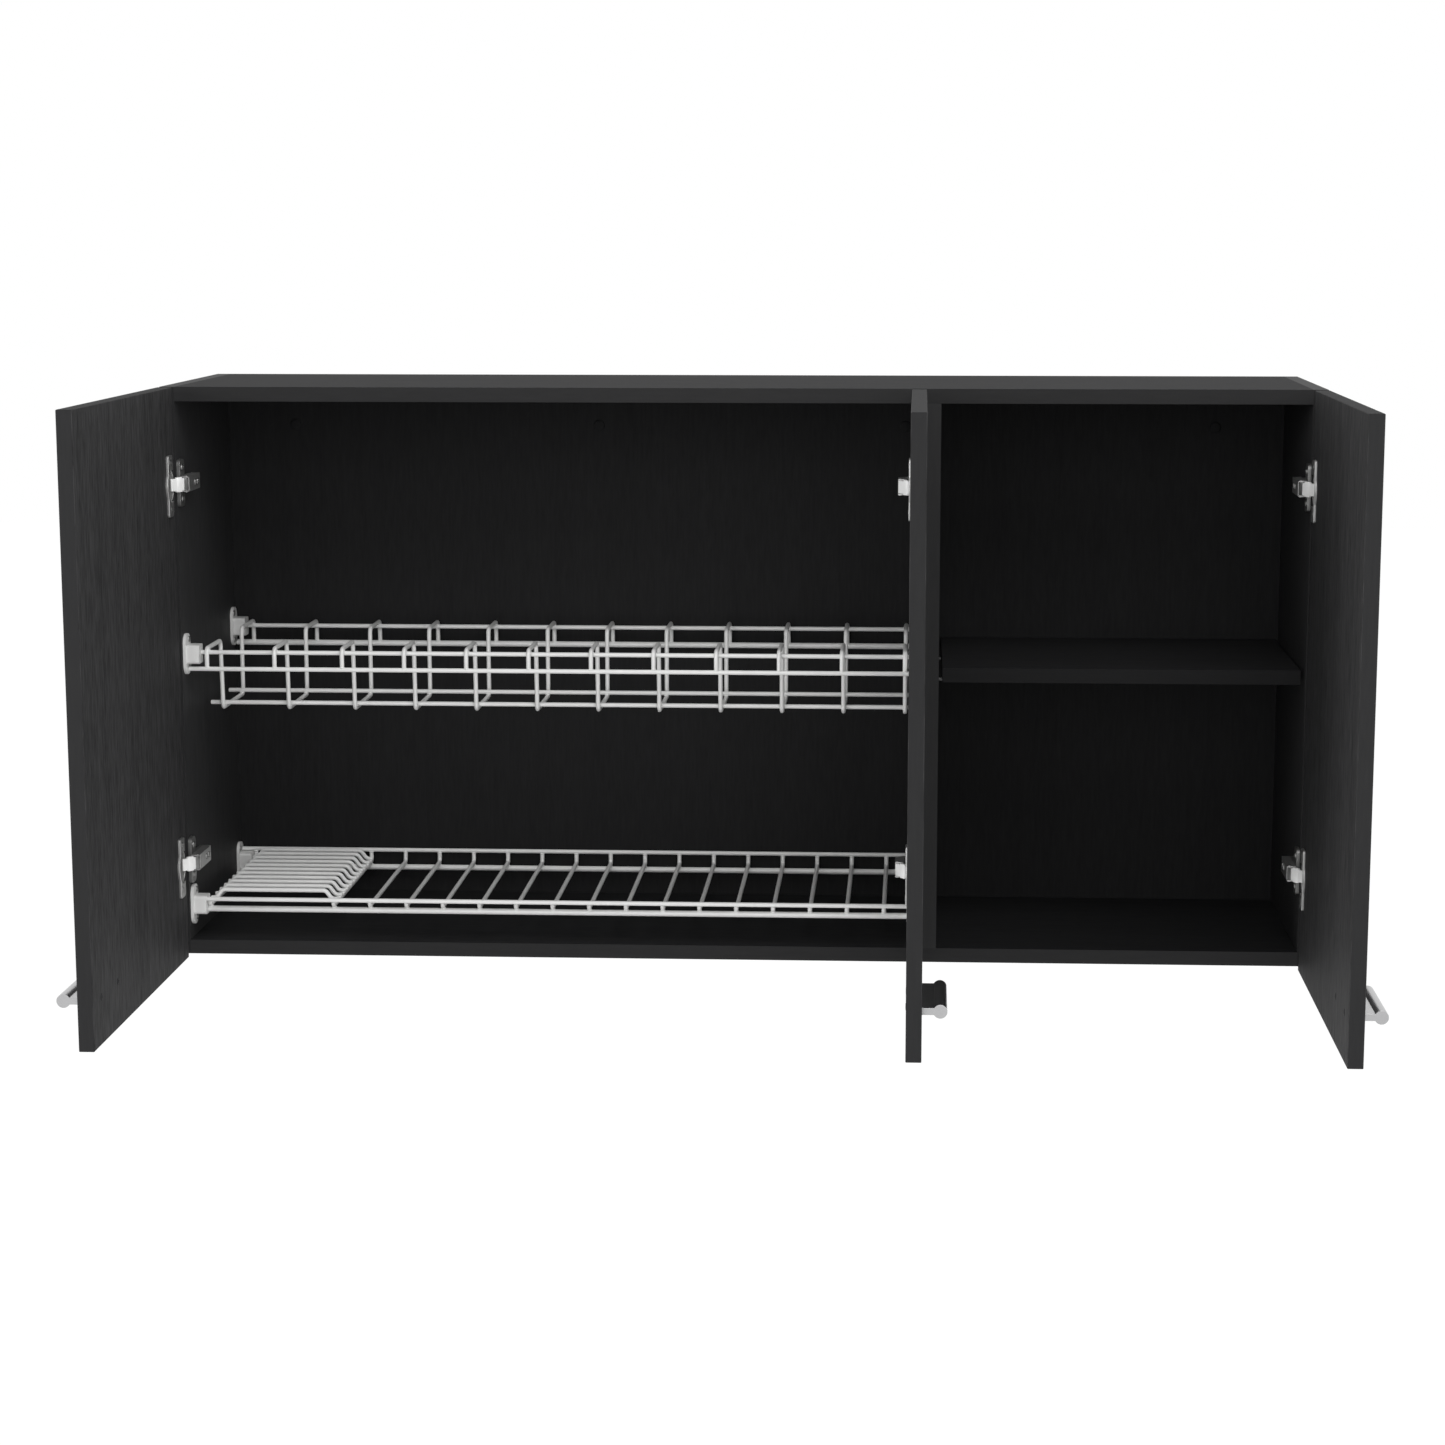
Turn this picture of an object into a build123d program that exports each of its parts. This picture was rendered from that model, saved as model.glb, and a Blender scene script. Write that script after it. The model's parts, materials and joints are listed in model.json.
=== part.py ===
from build123d import *
from math import cos, radians, sin
import os

# Kitchen wall cabinet with three hinged doors. Two thirds of its width hold a plate rack
# over a cup and saucer rack, and one third holds a shelf. Millimetres, at real size, with the
# doors standing open at a right angle, which is the rest position.
# +X is to the right, +Y runs from the front to the wall and +Z is up. The origin lies on the
# wall plane, in the middle of the row of wall screws.

# Carcass
WIDTH = 1200.0
HEIGHT = 600.0
DEPTH = 283.0
BOARD = 15.0
SCREW_LINE_DROP = 55.0
DIVIDER_X = 200.0

# Back and rails
BACK_THICKNESS = 3.0
GROOVE_DEPTH = 6.0
GROOVE_CLEARANCE = 0.3
RAIL_THICKNESS = 15.0
HANGING_RAIL_HEIGHT = 80.0
LOWER_RAIL_HEIGHT = 60.0
WALL_HOLE_RADIUS = 3.5
WALL_HOLE_INSET = 90.0
WALL_HOLE_COUNT = 4

# Doors
DOOR_DROP = 2.0
DOOR_GAP = 3.0
END_GAP = 10.0
EDGE_BREAK = 0.6

# Fasteners of the carcass
FIT = 0.05
DOWEL_RADIUS = 4.0
DOWEL_LENGTH = 30.0
DOWEL_IN_FACE = 10.0
SCREW_RADIUS = 2.5
SCREW_LENGTH = 50.0
SCREW_HEAD_RADIUS = 5.0
SCREW_HEAD_DEPTH = 4.0
SCREW_INSET = 42.0
DOWEL_INSET = 92.0
RAIL_SCREW_SPACING = 40.0

# Concealed hinges
HINGE_FROM_END = 100.0
CUP_RADIUS = 17.5
CUP_DEPTH = 12.0
CUP_WALL = 0.6
CUP_EDGE = 3.5
RIM_RADIUS = 18.6
RIM_THICKNESS = 0.8
EAR_LENGTH = 63.0
EAR_WIDTH = 19.0
EAR_THICKNESS = 2.5
EAR_OFFSET = 4.1
EAR_CORNER = 3.0
EAR_SCREW_SPACING = 48.0
SMALL_SCREW_RADIUS = 1.75
SMALL_SCREW_LENGTH = 11.0
SMALL_HEAD_RADIUS = 3.6
SMALL_HEAD_HEIGHT = 1.2
WING_LENGTH = 49.0
WING_WIDTH = 20.5
WING_THICKNESS = 3.5
WING_SETBACK = 1.5
WING_CORNER = 6.0
PLATE_SCREW_SPACING = 32.0
PLATE_HEIGHT = 5.0
PLATE_WIDTH = 14.0
PLATE_LENGTH = 40.0
PLATE_SETBACK = 14.0
ARM_WIDTH = 16.0
ARM_WALL = 1.2
ARM_HEIGHT = 8.5
ARM_TOP = 28.5
ARM_FRONT = 6.5
ARM_REAR = 49.0
CRANK_START = 20.0
CRANK_LENGTH = 14.0
NOSE_WEB_END = 1.2
PIVOT_P = 26.0
PIVOT_V = 4.0
PIVOT_RADIUS = 1.0
PIVOT_HEAD_RADIUS = 1.9
PIVOT_HEAD_HEIGHT = 0.6
LINK_LENGTH = 20.2
LINK_ANGLE = 124.5
LINK_EYE_RADIUS = 2.2
LINK_TIP_RADIUS = 1.3
LINK_SIDE_GAP = 0.4
ARM_SCREW_HEAD_RADIUS = 3.4
ARM_SCREW_HEAD_HEIGHT = 1.0
ARM_SCREW_SPACING = 11.0
ARM_SCREW_REAR = 10.0

# Handles
HANDLE_LENGTH = 100.0
HANDLE_FROM_EDGE = 15.0
HANDLE_HEIGHT = 45.5
HANDLE_BULB_RADIUS = 6.6
HANDLE_REACH = 17.2
HANDLE_LEG = 6.6
HANDLE_SCREW_SPACING = 64.0
HANDLE_SCREW_RADIUS = 2.0
HANDLE_SCREW_BITE = 9.0
HANDLE_HEAD_RADIUS = 3.6

# Shelf
SHELF_GAP = 3.75
SHELF_SETBACK = 10.0
SHELF_BACK_GAP = 2.0
SHELF_UNDERSIDE = 296.0
PIN_RADIUS = 2.5
PIN_LENGTH = 19.0
PIN_IN_BOARD = 10.0
PIN_INSET = 45.0

# Racks
WIRE_RADIUS = 2.35
RACK_RAIL_RADIUS = 3.2
WIRE_BEND = 4.0
RACK_FRONT = 268.0
RACK_BACK = 25.0
LIP_OVER_BRACKET = 5.7
LIP_FRONT_HEIGHT = 19.2
LIP_BACK_HEIGHT = 21.4
TROUGH_DEPTH = 73.4
TROUGH_FRONT = 201.0
TROUGH_BACK = 91.0
TROUGH_TAPER = 6.0
TROUGH_RAIL_INSET = 8.0
PLATE_WIRE_FIRST = 23.0
PLATE_WIRE_PITCH = 65.7
WIDE_BAY_SHARE = 1.09
WIDE_BAY_COUNT = 2
PLATE_WIRE_COUNT = 12
CUP_WIRE_UNDER_BRACKET = 0.4
CUP_FRONT_RISE = 6.9
CUP_BACK_RISE = 13.2
CUP_RAIL_SETBACK = 5.0
CORNER_RAIL_SETBACK = 6.4
CUP_WIRE_FIRST = 151.5
CUP_WIRE_PITCH = 39.05
CUP_WIRE_COUNT = 16
SIDE_WIRE_INSET = 19.0
COMB_RISE = 13.7
COMB_SLOPE = 6.5
COMB_OVERHANG = 1.5
COMB_COUNT = 11
COMB_FRONT_INSET = 13.0
COMB_PITCH = 22.0

# Brackets of the racks
BRACKET_HEIGHT = 43.0
BRACKET_WIDTH = 24.0
BRACKET_THICKNESS = 3.0
BRACKET_CORNER = 11.0
BRACKET_OVERHANG = 10.0
BRACKET_WALL_GAP = 0.6
PLATE_BRACKET_HEIGHT = 319.8
CUP_BRACKET_HEIGHT = 50.8
BOSS_HEIGHT = 20.0
BOSS_WIDTH = 20.0
BOSS_CORNER = 3.0
BOSS_REACH = 13.3
BRACKET_SCREW_SPACING = 30.0
BRACKET_SCREW_SHIFT = 4.5
BRACKET_SCREW_RADIUS = 1.75
BRACKET_SCREW_LENGTH = 12.0
BRACKET_HEAD_RADIUS = 3.2
BRACKET_HEAD_HEIGHT = 1.2

# Worked out from the sizes above
TOP_Z = SCREW_LINE_DROP
BOTTOM_Z = TOP_Z - HEIGHT
SIDE_X = WIDTH / 2
INNER_X = SIDE_X - BOARD
FRONT_Y = -DEPTH
BACK_FACE_Y = -RAIL_THICKNESS - BACK_THICKNESS
DIVIDER_LEFT = DIVIDER_X - BOARD / 2
DIVIDER_RIGHT = DIVIDER_X + BOARD / 2
CLEAR_HEIGHT = HEIGHT - 2 * BOARD
RAIL_Z = TOP_Z - BOARD - HANGING_RAIL_HEIGHT / 2
LOWER_RAIL_Z = BOTTOM_Z + BOARD + LOWER_RAIL_HEIGHT / 2
SCREW_LINES = (FRONT_Y + SCREW_INSET, BACK_FACE_Y - SCREW_INSET / 2)
DOWEL_LINES = (FRONT_Y + DOWEL_INSET, BACK_FACE_Y - DOWEL_INSET)
PANEL_ENDS = (BOTTOM_Z + BOARD / 2, TOP_Z - BOARD / 2)
RAIL_ENDS = (RAIL_Z - RAIL_SCREW_SPACING / 2, RAIL_Z + RAIL_SCREW_SPACING / 2, LOWER_RAIL_Z)
PANEL_SCREWS = [(y, z) for y in SCREW_LINES for z in PANEL_ENDS]
SIDE_SCREWS = PANEL_SCREWS + [(-RAIL_THICKNESS / 2, z) for z in RAIL_ENDS]
SIDE_DOWELS = [(y, z) for y in DOWEL_LINES for z in PANEL_ENDS]
DIVIDER_DOWELS = [(DIVIDER_X, y) for y in DOWEL_LINES]
WALL_HOLE_PITCH = (WIDTH - 2 * WALL_HOLE_INSET) / (WALL_HOLE_COUNT - 1)

DOOR_HEIGHT = HEIGHT + DOOR_DROP
SIDE_DOOR_WIDTH = SIDE_X - DIVIDER_X - DOOR_GAP / 2
MIDDLE_DOOR_WIDTH = 2 * DIVIDER_X - DOOR_GAP
HINGE_HEIGHTS = (BOTTOM_Z + HINGE_FROM_END, TOP_Z - HINGE_FROM_END)
HANDLE_Z = BOTTOM_Z - DOOR_DROP + HANDLE_HEIGHT
CUP_V = END_GAP + CUP_EDGE + CUP_RADIUS
PLATE_SCREW_V = -WING_SETBACK - WING_WIDTH / 2
PLATE_SCREWS = [
    (FRONT_Y - PLATE_SCREW_V, z + s * PLATE_SCREW_SPACING / 2)
    for z in HINGE_HEIGHTS
    for s in (-1, 1)
]
PLATE_SCREW_BITE = SMALL_SCREW_LENGTH - WING_THICKNESS
ARM_SCREW_V = ARM_SCREW_REAR + ARM_SCREW_SPACING / 2 - ARM_REAR
LINK_TIP_P = PIVOT_P + LINK_LENGTH * cos(radians(LINK_ANGLE))
LINK_TIP_V = PIVOT_V + LINK_LENGTH * sin(radians(LINK_ANGLE))
LINK_WIDTH = ARM_WIDTH - 2 * ARM_WALL - 2 * LINK_SIDE_GAP

SHELF_Z = BOTTOM_Z + SHELF_UNDERSIDE
SHELF_FRONT = FRONT_Y + SHELF_SETBACK
SHELF_REAR = BACK_FACE_Y - SHELF_BACK_GAP
PIN_Z = SHELF_Z - PIN_RADIUS
SHELF_PINS = [(SHELF_FRONT + PIN_INSET, PIN_Z), (SHELF_REAR - PIN_INSET, PIN_Z)]

# Racks, hung from their brackets, with their wires resting on the rails
RACK_LEFT = -INNER_X
RACK_RIGHT = DIVIDER_LEFT
LIP_TOP = PLATE_BRACKET_HEIGHT + LIP_OVER_BRACKET
CUP_WIRE_LEVEL = CUP_BRACKET_HEIGHT - CUP_WIRE_UNDER_BRACKET
COMB_TOP = CUP_WIRE_LEVEL + COMB_RISE
LIP_Z = BOTTOM_Z + LIP_TOP
TROUGH_Z = LIP_Z - TROUGH_DEPTH
LIP_FRONT_Z = LIP_Z - LIP_FRONT_HEIGHT
LIP_BACK_Z = LIP_Z - LIP_BACK_HEIGHT
CUP_WIRE_Z = BOTTOM_Z + CUP_WIRE_LEVEL
CUP_WIRE_X = RACK_LEFT + CUP_WIRE_FIRST
SIDE_WIRE_X = RACK_LEFT + SIDE_WIRE_INSET
COMB_Z = BOTTOM_Z + COMB_TOP
TUCK = 2 * WIRE_RADIUS
COMB_FOOT_Z = CUP_WIRE_Z + TUCK
PLATE_WIRE_PATH = (
    (-RACK_FRONT, LIP_FRONT_Z),
    (-RACK_FRONT, LIP_Z),
    (-TROUGH_FRONT, LIP_Z),
    (TROUGH_TAPER - TROUGH_FRONT, TROUGH_Z),
    (-TROUGH_BACK, TROUGH_Z),
    (-TROUGH_BACK, LIP_Z),
    (-RACK_BACK, LIP_Z),
    (-RACK_BACK, LIP_BACK_Z),
)
CUP_WIRE_PATH = (
    (-RACK_FRONT, CUP_WIRE_Z + CUP_FRONT_RISE),
    (-RACK_FRONT, CUP_WIRE_Z),
    (-RACK_BACK, CUP_WIRE_Z),
    (-RACK_BACK, CUP_WIRE_Z + CUP_BACK_RISE - WIRE_RADIUS),
)
COMB_PATH = (
    (SIDE_WIRE_X - WIRE_RADIUS, COMB_FOOT_Z),
    (SIDE_WIRE_X + WIRE_BEND, COMB_FOOT_Z),
    (SIDE_WIRE_X + WIRE_BEND + COMB_SLOPE, COMB_Z),
    (CUP_WIRE_X - WIRE_BEND - COMB_SLOPE, COMB_Z),
    (CUP_WIRE_X - WIRE_BEND, COMB_FOOT_Z),
    (CUP_WIRE_X + WIRE_RADIUS + COMB_OVERHANG, COMB_FOOT_Z),
)

# Each rail of a rack: y, z, radius and how far its ends stay from the sides
THICK_RAIL_Z = CUP_WIRE_Z - WIRE_RADIUS - RACK_RAIL_RADIUS
PLATE_RACK_RAILS = (
    (CORNER_RAIL_SETBACK - RACK_FRONT, LIP_Z - TUCK, WIRE_RADIUS, BRACKET_THICKNESS),
    (-RACK_BACK - CORNER_RAIL_SETBACK, LIP_Z - TUCK, WIRE_RADIUS, BRACKET_THICKNESS),
    (-RACK_FRONT, LIP_FRONT_Z - WIRE_RADIUS, WIRE_RADIUS, BRACKET_THICKNESS),
    (-RACK_BACK, LIP_BACK_Z - RACK_RAIL_RADIUS, RACK_RAIL_RADIUS, BRACKET_THICKNESS),
    (TROUGH_TAPER - TROUGH_FRONT + CORNER_RAIL_SETBACK, TROUGH_Z + TUCK, WIRE_RADIUS, TROUGH_RAIL_INSET),
    (-TROUGH_BACK - CORNER_RAIL_SETBACK, TROUGH_Z + TUCK, WIRE_RADIUS, TROUGH_RAIL_INSET),
)
CUP_RACK_RAILS = (
    (CUP_RAIL_SETBACK - RACK_FRONT, THICK_RAIL_Z, RACK_RAIL_RADIUS, BRACKET_THICKNESS),
    (-RACK_BACK - CUP_RAIL_SETBACK, THICK_RAIL_Z, RACK_RAIL_RADIUS, BRACKET_THICKNESS),
    (-RACK_FRONT - TUCK, CUP_WIRE_Z + CUP_FRONT_RISE, WIRE_RADIUS, BRACKET_THICKNESS),
    (-RACK_BACK, CUP_WIRE_Z + CUP_BACK_RISE, WIRE_RADIUS, BRACKET_THICKNESS),
)
PLATE_BRACKET_Z = BOTTOM_Z + PLATE_BRACKET_HEIGHT
CUP_BRACKET_Z = BOTTOM_Z + CUP_BRACKET_HEIGHT
BRACKET_SCREW_BITE = BRACKET_SCREW_LENGTH - BRACKET_THICKNESS
BRACKET_SPOTS = (
    (BRACKET_WIDTH / 2 - RACK_FRONT - BRACKET_OVERHANG, BRACKET_SCREW_SHIFT),
    (BACK_FACE_Y - BRACKET_WALL_GAP - BRACKET_WIDTH / 2, -BRACKET_SCREW_SHIFT),
)
BRACKET_SCREWS = [
    (y + shift, z + s * BRACKET_SCREW_SPACING / 2)
    for y, shift in BRACKET_SPOTS
    for z in (PLATE_BRACKET_Z, CUP_BRACKET_Z)
    for s in (-1, 1)
]

# Each door: name, which way its open inner face looks (1 is towards -X), the plane of its
# open outer face, its width, and where the board that carries its hinges begins behind it
DOORS = (
    ("left", -1, -SIDE_X, SIDE_DOOR_WIDTH, BOARD),
    ("middle", 1, DIVIDER_LEFT, MIDDLE_DOOR_WIDTH, 0),
    ("right", 1, SIDE_X, SIDE_DOOR_WIDTH, BOARD),
)

os.makedirs("parts", exist_ok=True)


def spot(hand, face, p, v):
    """Plan position p inward from a door's open outer face and v in front of the carcass."""
    return (face - hand * p, FRONT_Y - v)


def upright(x, side):
    """Plane across the cabinet at x that looks to the given side, with local y along Z."""
    return Plane(origin=(x, 0, 0), x_dir=(0, side, 0), z_dir=(side, 0, 0))


def off_board(hand, face, p, v, z):
    """Plane parallel to an open door at plan position p, v, with local x to the front."""
    x, y = spot(hand, face, p, v)
    return Plane(origin=(x, y, z), x_dir=(0, -1, 0), z_dir=(-hand, 0, 0))


def discs(plane, spots, radius, height, mode=Mode.ADD):
    """Add or cut round studs of one radius at spots given in a plane's local x and y."""
    with BuildSketch(plane) as profile:
        with Locations(*spots):
            Circle(radius)
    extrude(profile.sketch, amount=height, mode=mode)


def bore(plane, spots, radius, depth):
    """Cut round holes from a plane downwards."""
    discs(plane, spots, radius + FIT, -depth, Mode.SUBTRACT)


def column(spacing):
    """Two spots one above the other, at even distances from a plane's origin."""
    return [(0, -spacing / 2), (0, spacing / 2)]


def row(spacing):
    """Two spots side by side, at even distances from a plane's origin."""
    return [(-spacing / 2, 0), (spacing / 2, 0)]


def beside(side, spots):
    """Turn spots given by y and z into local ones of a plane made by upright."""
    return [(side * y, z) for y, z in spots]


def bent(points, size):
    """Points of a wire's path with each corner cut by a short slope, so that it looks bent."""
    path = [Vector(*points[0])]
    for before, corner, after in zip(points, points[1:], points[2:]):
        before, corner, after = Vector(*before), Vector(*corner), Vector(*after)
        path.append(corner + (before - corner).normalized() * size)
        path.append(corner + (after - corner).normalized() * size)
    path.append(Vector(*points[-1]))
    return [(point.X, point.Y) for point in path]


def add_wire(points, radius, plane):
    """Sweep a round wire along points given in a plane's local x and y."""
    with BuildLine(plane) as path:
        Polyline(*bent(points, WIRE_BEND))
    with BuildSketch(Plane(origin=path.line @ 0, z_dir=path.line % 0)) as section:
        Circle(radius)
    sweep(section.sketch, path=path.line, transition=Transition.RIGHT)


def arm_outline(arm_top, inset):
    """Side view of a hinge arm as p, v points, or of its hollow where inset is the wall."""
    drop = ARM_TOP - arm_top
    low = ARM_TOP - ARM_HEIGHT
    high = ARM_TOP - inset
    rear = inset - ARM_REAR
    if drop == 0:
        return [(low, ARM_FRONT), (low, rear), (high, rear), (high, ARM_FRONT)]
    near, far = -CRANK_START, -CRANK_START - CRANK_LENGTH
    outline = [(low, ARM_FRONT), (low, near), (low - drop, far), (low - drop, rear)]
    return outline + [(high - drop, rear), (high - drop, far), (high, near), (high, ARM_FRONT)]


# Side panels, with the back's groove and the bores of what they carry
for name, side in (("left_side_panel", -1), ("right_side_panel", 1)):
    outside = upright(side * SIDE_X, side)
    inside = upright(side * INNER_X, -side)
    with BuildPart() as panel:
        with BuildSketch(Plane.XY.offset(BOTTOM_Z)):
            with Locations((side * (SIDE_X - BOARD / 2), FRONT_Y / 2)):
                Rectangle(BOARD, DEPTH)
        extrude(amount=HEIGHT)
        with BuildSketch(Plane.XY.offset(BOTTOM_Z + BOARD - GROOVE_DEPTH)):
            with Locations((side * (INNER_X + GROOVE_DEPTH / 2), BACK_FACE_Y + BACK_THICKNESS / 2)):
                Rectangle(GROOVE_DEPTH, BACK_THICKNESS)
        extrude(amount=CLEAR_HEIGHT + 2 * GROOVE_DEPTH, mode=Mode.SUBTRACT)
        bore(outside, beside(side, SIDE_SCREWS), SCREW_RADIUS, BOARD)
        bore(outside, beside(side, SIDE_SCREWS), SCREW_HEAD_RADIUS, SCREW_HEAD_DEPTH)
        bore(inside, beside(-side, SIDE_DOWELS), DOWEL_RADIUS, DOWEL_IN_FACE)
        bore(inside, beside(-side, PLATE_SCREWS), SMALL_SCREW_RADIUS, PLATE_SCREW_BITE)
        if side < 0:
            bore(inside, beside(-side, BRACKET_SCREWS), BRACKET_SCREW_RADIUS, BRACKET_SCREW_BITE)
        else:
            bore(inside, beside(-side, SHELF_PINS), PIN_RADIUS, PIN_IN_BOARD)
    panel.part.label = name
    export_step(panel.part, f"parts/{name}.step")

# Top and bottom panels between the sides, each with a groove for the back
for name, level, up in (("top_panel", TOP_Z - BOARD, 1), ("bottom_panel", BOTTOM_Z + BOARD, -1)):
    under = Plane.XY.offset(level)
    with BuildPart() as panel:
        with BuildSketch(under):
            with Locations((0, FRONT_Y / 2)):
                Rectangle(2 * INNER_X, DEPTH)
        extrude(amount=up * BOARD)
        with BuildSketch(under):
            with Locations((0, BACK_FACE_Y + BACK_THICKNESS / 2)):
                Rectangle(2 * INNER_X, BACK_THICKNESS)
        extrude(amount=up * GROOVE_DEPTH, mode=Mode.SUBTRACT)
        for side in (-1, 1):
            end = upright(side * INNER_X, side)
            middle = level + up * BOARD / 2
            screws = beside(side, [(y, middle) for y in SCREW_LINES])
            plugs = beside(side, [(y, middle) for y in DOWEL_LINES])
            bore(end, screws, SCREW_RADIUS, SCREW_LENGTH - BOARD)
            bore(end, plugs, DOWEL_RADIUS, DOWEL_LENGTH - DOWEL_IN_FACE)
        bore(under, DIVIDER_DOWELS, DOWEL_RADIUS, -up * DOWEL_IN_FACE)
    panel.part.label = name
    export_step(panel.part, f"parts/{name}.step")

# Divider between the racks and the shelf, held by dowels and carrying the middle door
with BuildPart() as centre_divider:
    with BuildSketch(Plane.XY.offset(BOTTOM_Z + BOARD)):
        with Locations((DIVIDER_X, (FRONT_Y + BACK_FACE_Y) / 2)):
            Rectangle(BOARD, BACK_FACE_Y - FRONT_Y)
    extrude(amount=CLEAR_HEIGHT)
    for level, up in ((BOTTOM_Z + BOARD, 1), (TOP_Z - BOARD, -1)):
        end = Plane.XY.offset(level)
        bore(end, DIVIDER_DOWELS, DOWEL_RADIUS, up * (DOWEL_IN_FACE - DOWEL_LENGTH))
    left_face = upright(DIVIDER_LEFT, -1)
    bore(left_face, beside(-1, PLATE_SCREWS), SMALL_SCREW_RADIUS, PLATE_SCREW_BITE)
    bore(left_face, beside(-1, BRACKET_SCREWS), BRACKET_SCREW_RADIUS, BRACKET_SCREW_BITE)
    bore(upright(DIVIDER_RIGHT, 1), SHELF_PINS, PIN_RADIUS, PIN_IN_BOARD)
centre_divider.part.label = "centre_divider"
export_step(centre_divider.part, "parts/centre_divider.step")

# Back panel in its grooves, with the holes that the wall screws go through
with BuildPart() as back_panel:
    with BuildSketch(Plane.XZ.offset(-BACK_FACE_Y)):
        with Locations((0, (TOP_Z + BOTTOM_Z) / 2)):
            Rectangle(
                2 * (INNER_X + GROOVE_DEPTH - GROOVE_CLEARANCE),
                CLEAR_HEIGHT + 2 * (GROOVE_DEPTH - GROOVE_CLEARANCE),
            )
        with GridLocations(WALL_HOLE_PITCH, 0, WALL_HOLE_COUNT, 1):
            Circle(WALL_HOLE_RADIUS, mode=Mode.SUBTRACT)
    extrude(amount=-BACK_THICKNESS)
back_panel.part.label = "back_panel"
export_step(back_panel.part, "parts/back_panel.step")

# Rails behind the back: the upper one hangs on the wall screws
for name, z, height, screws in (
    ("hanging_rail", RAIL_Z, HANGING_RAIL_HEIGHT, RAIL_ENDS[:2]),
    ("lower_rail", LOWER_RAIL_Z, LOWER_RAIL_HEIGHT, RAIL_ENDS[2:]),
):
    with BuildPart() as rail:
        with BuildSketch(Plane.XZ):
            with Locations((0, z)):
                Rectangle(2 * INNER_X, height)
            if name == "hanging_rail":
                with GridLocations(WALL_HOLE_PITCH, 0, WALL_HOLE_COUNT, 1):
                    Circle(WALL_HOLE_RADIUS, mode=Mode.SUBTRACT)
        extrude(amount=RAIL_THICKNESS)
        for side in (-1, 1):
            ends = beside(side, [(-RAIL_THICKNESS / 2, screw) for screw in screws])
            bore(upright(side * INNER_X, side), ends, SCREW_RADIUS, SCREW_LENGTH - BOARD)
    rail.part.label = name
    export_step(rail.part, f"parts/{name}.step")

# Screws of the carcass, driven in from the outside of the side panels
with BuildPart() as assembly_screws:
    for side in (-1, 1):
        discs(upright(side * SIDE_X, side), beside(side, SIDE_SCREWS), SCREW_RADIUS, -SCREW_LENGTH)
        discs(upright(side * SIDE_X, side), beside(side, SIDE_SCREWS), SCREW_HEAD_RADIUS, -SCREW_HEAD_DEPTH)
assembly_screws.part.label = "assembly_screws"
export_step(assembly_screws.part, "parts/assembly_screws.step")

# Dowels between the panels
with BuildPart() as dowels:
    for side in (-1, 1):
        start = upright(side * (INNER_X + DOWEL_IN_FACE), side)
        discs(start, beside(side, SIDE_DOWELS), DOWEL_RADIUS, -DOWEL_LENGTH)
    for level, up in ((BOTTOM_Z + BOARD - DOWEL_IN_FACE, 1), (TOP_Z - BOARD + DOWEL_IN_FACE, -1)):
        discs(Plane.XY.offset(level), DIVIDER_DOWELS, DOWEL_RADIUS, up * DOWEL_LENGTH)
dowels.part.label = "dowels"
export_step(dowels.part, "parts/dowels.step")

# Shelf of the right-hand third, lying on four pins
with BuildPart() as shelf:
    with BuildSketch(Plane.XY.offset(SHELF_Z)):
        with Locations(((DIVIDER_RIGHT + INNER_X) / 2, (SHELF_FRONT + SHELF_REAR) / 2)):
            Rectangle(INNER_X - DIVIDER_RIGHT - 2 * SHELF_GAP, SHELF_REAR - SHELF_FRONT)
    extrude(amount=BOARD)
shelf.part.label = "shelf"
export_step(shelf.part, "parts/shelf.step")

with BuildPart() as shelf_pins:
    for x, side in ((DIVIDER_RIGHT, 1), (INNER_X, -1)):
        discs(upright(x - side * PIN_IN_BOARD, side), beside(side, SHELF_PINS), PIN_RADIUS, PIN_LENGTH)
shelf_pins.part.label = "shelf_pins"
export_step(shelf_pins.part, "parts/shelf_pins.step")

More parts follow.
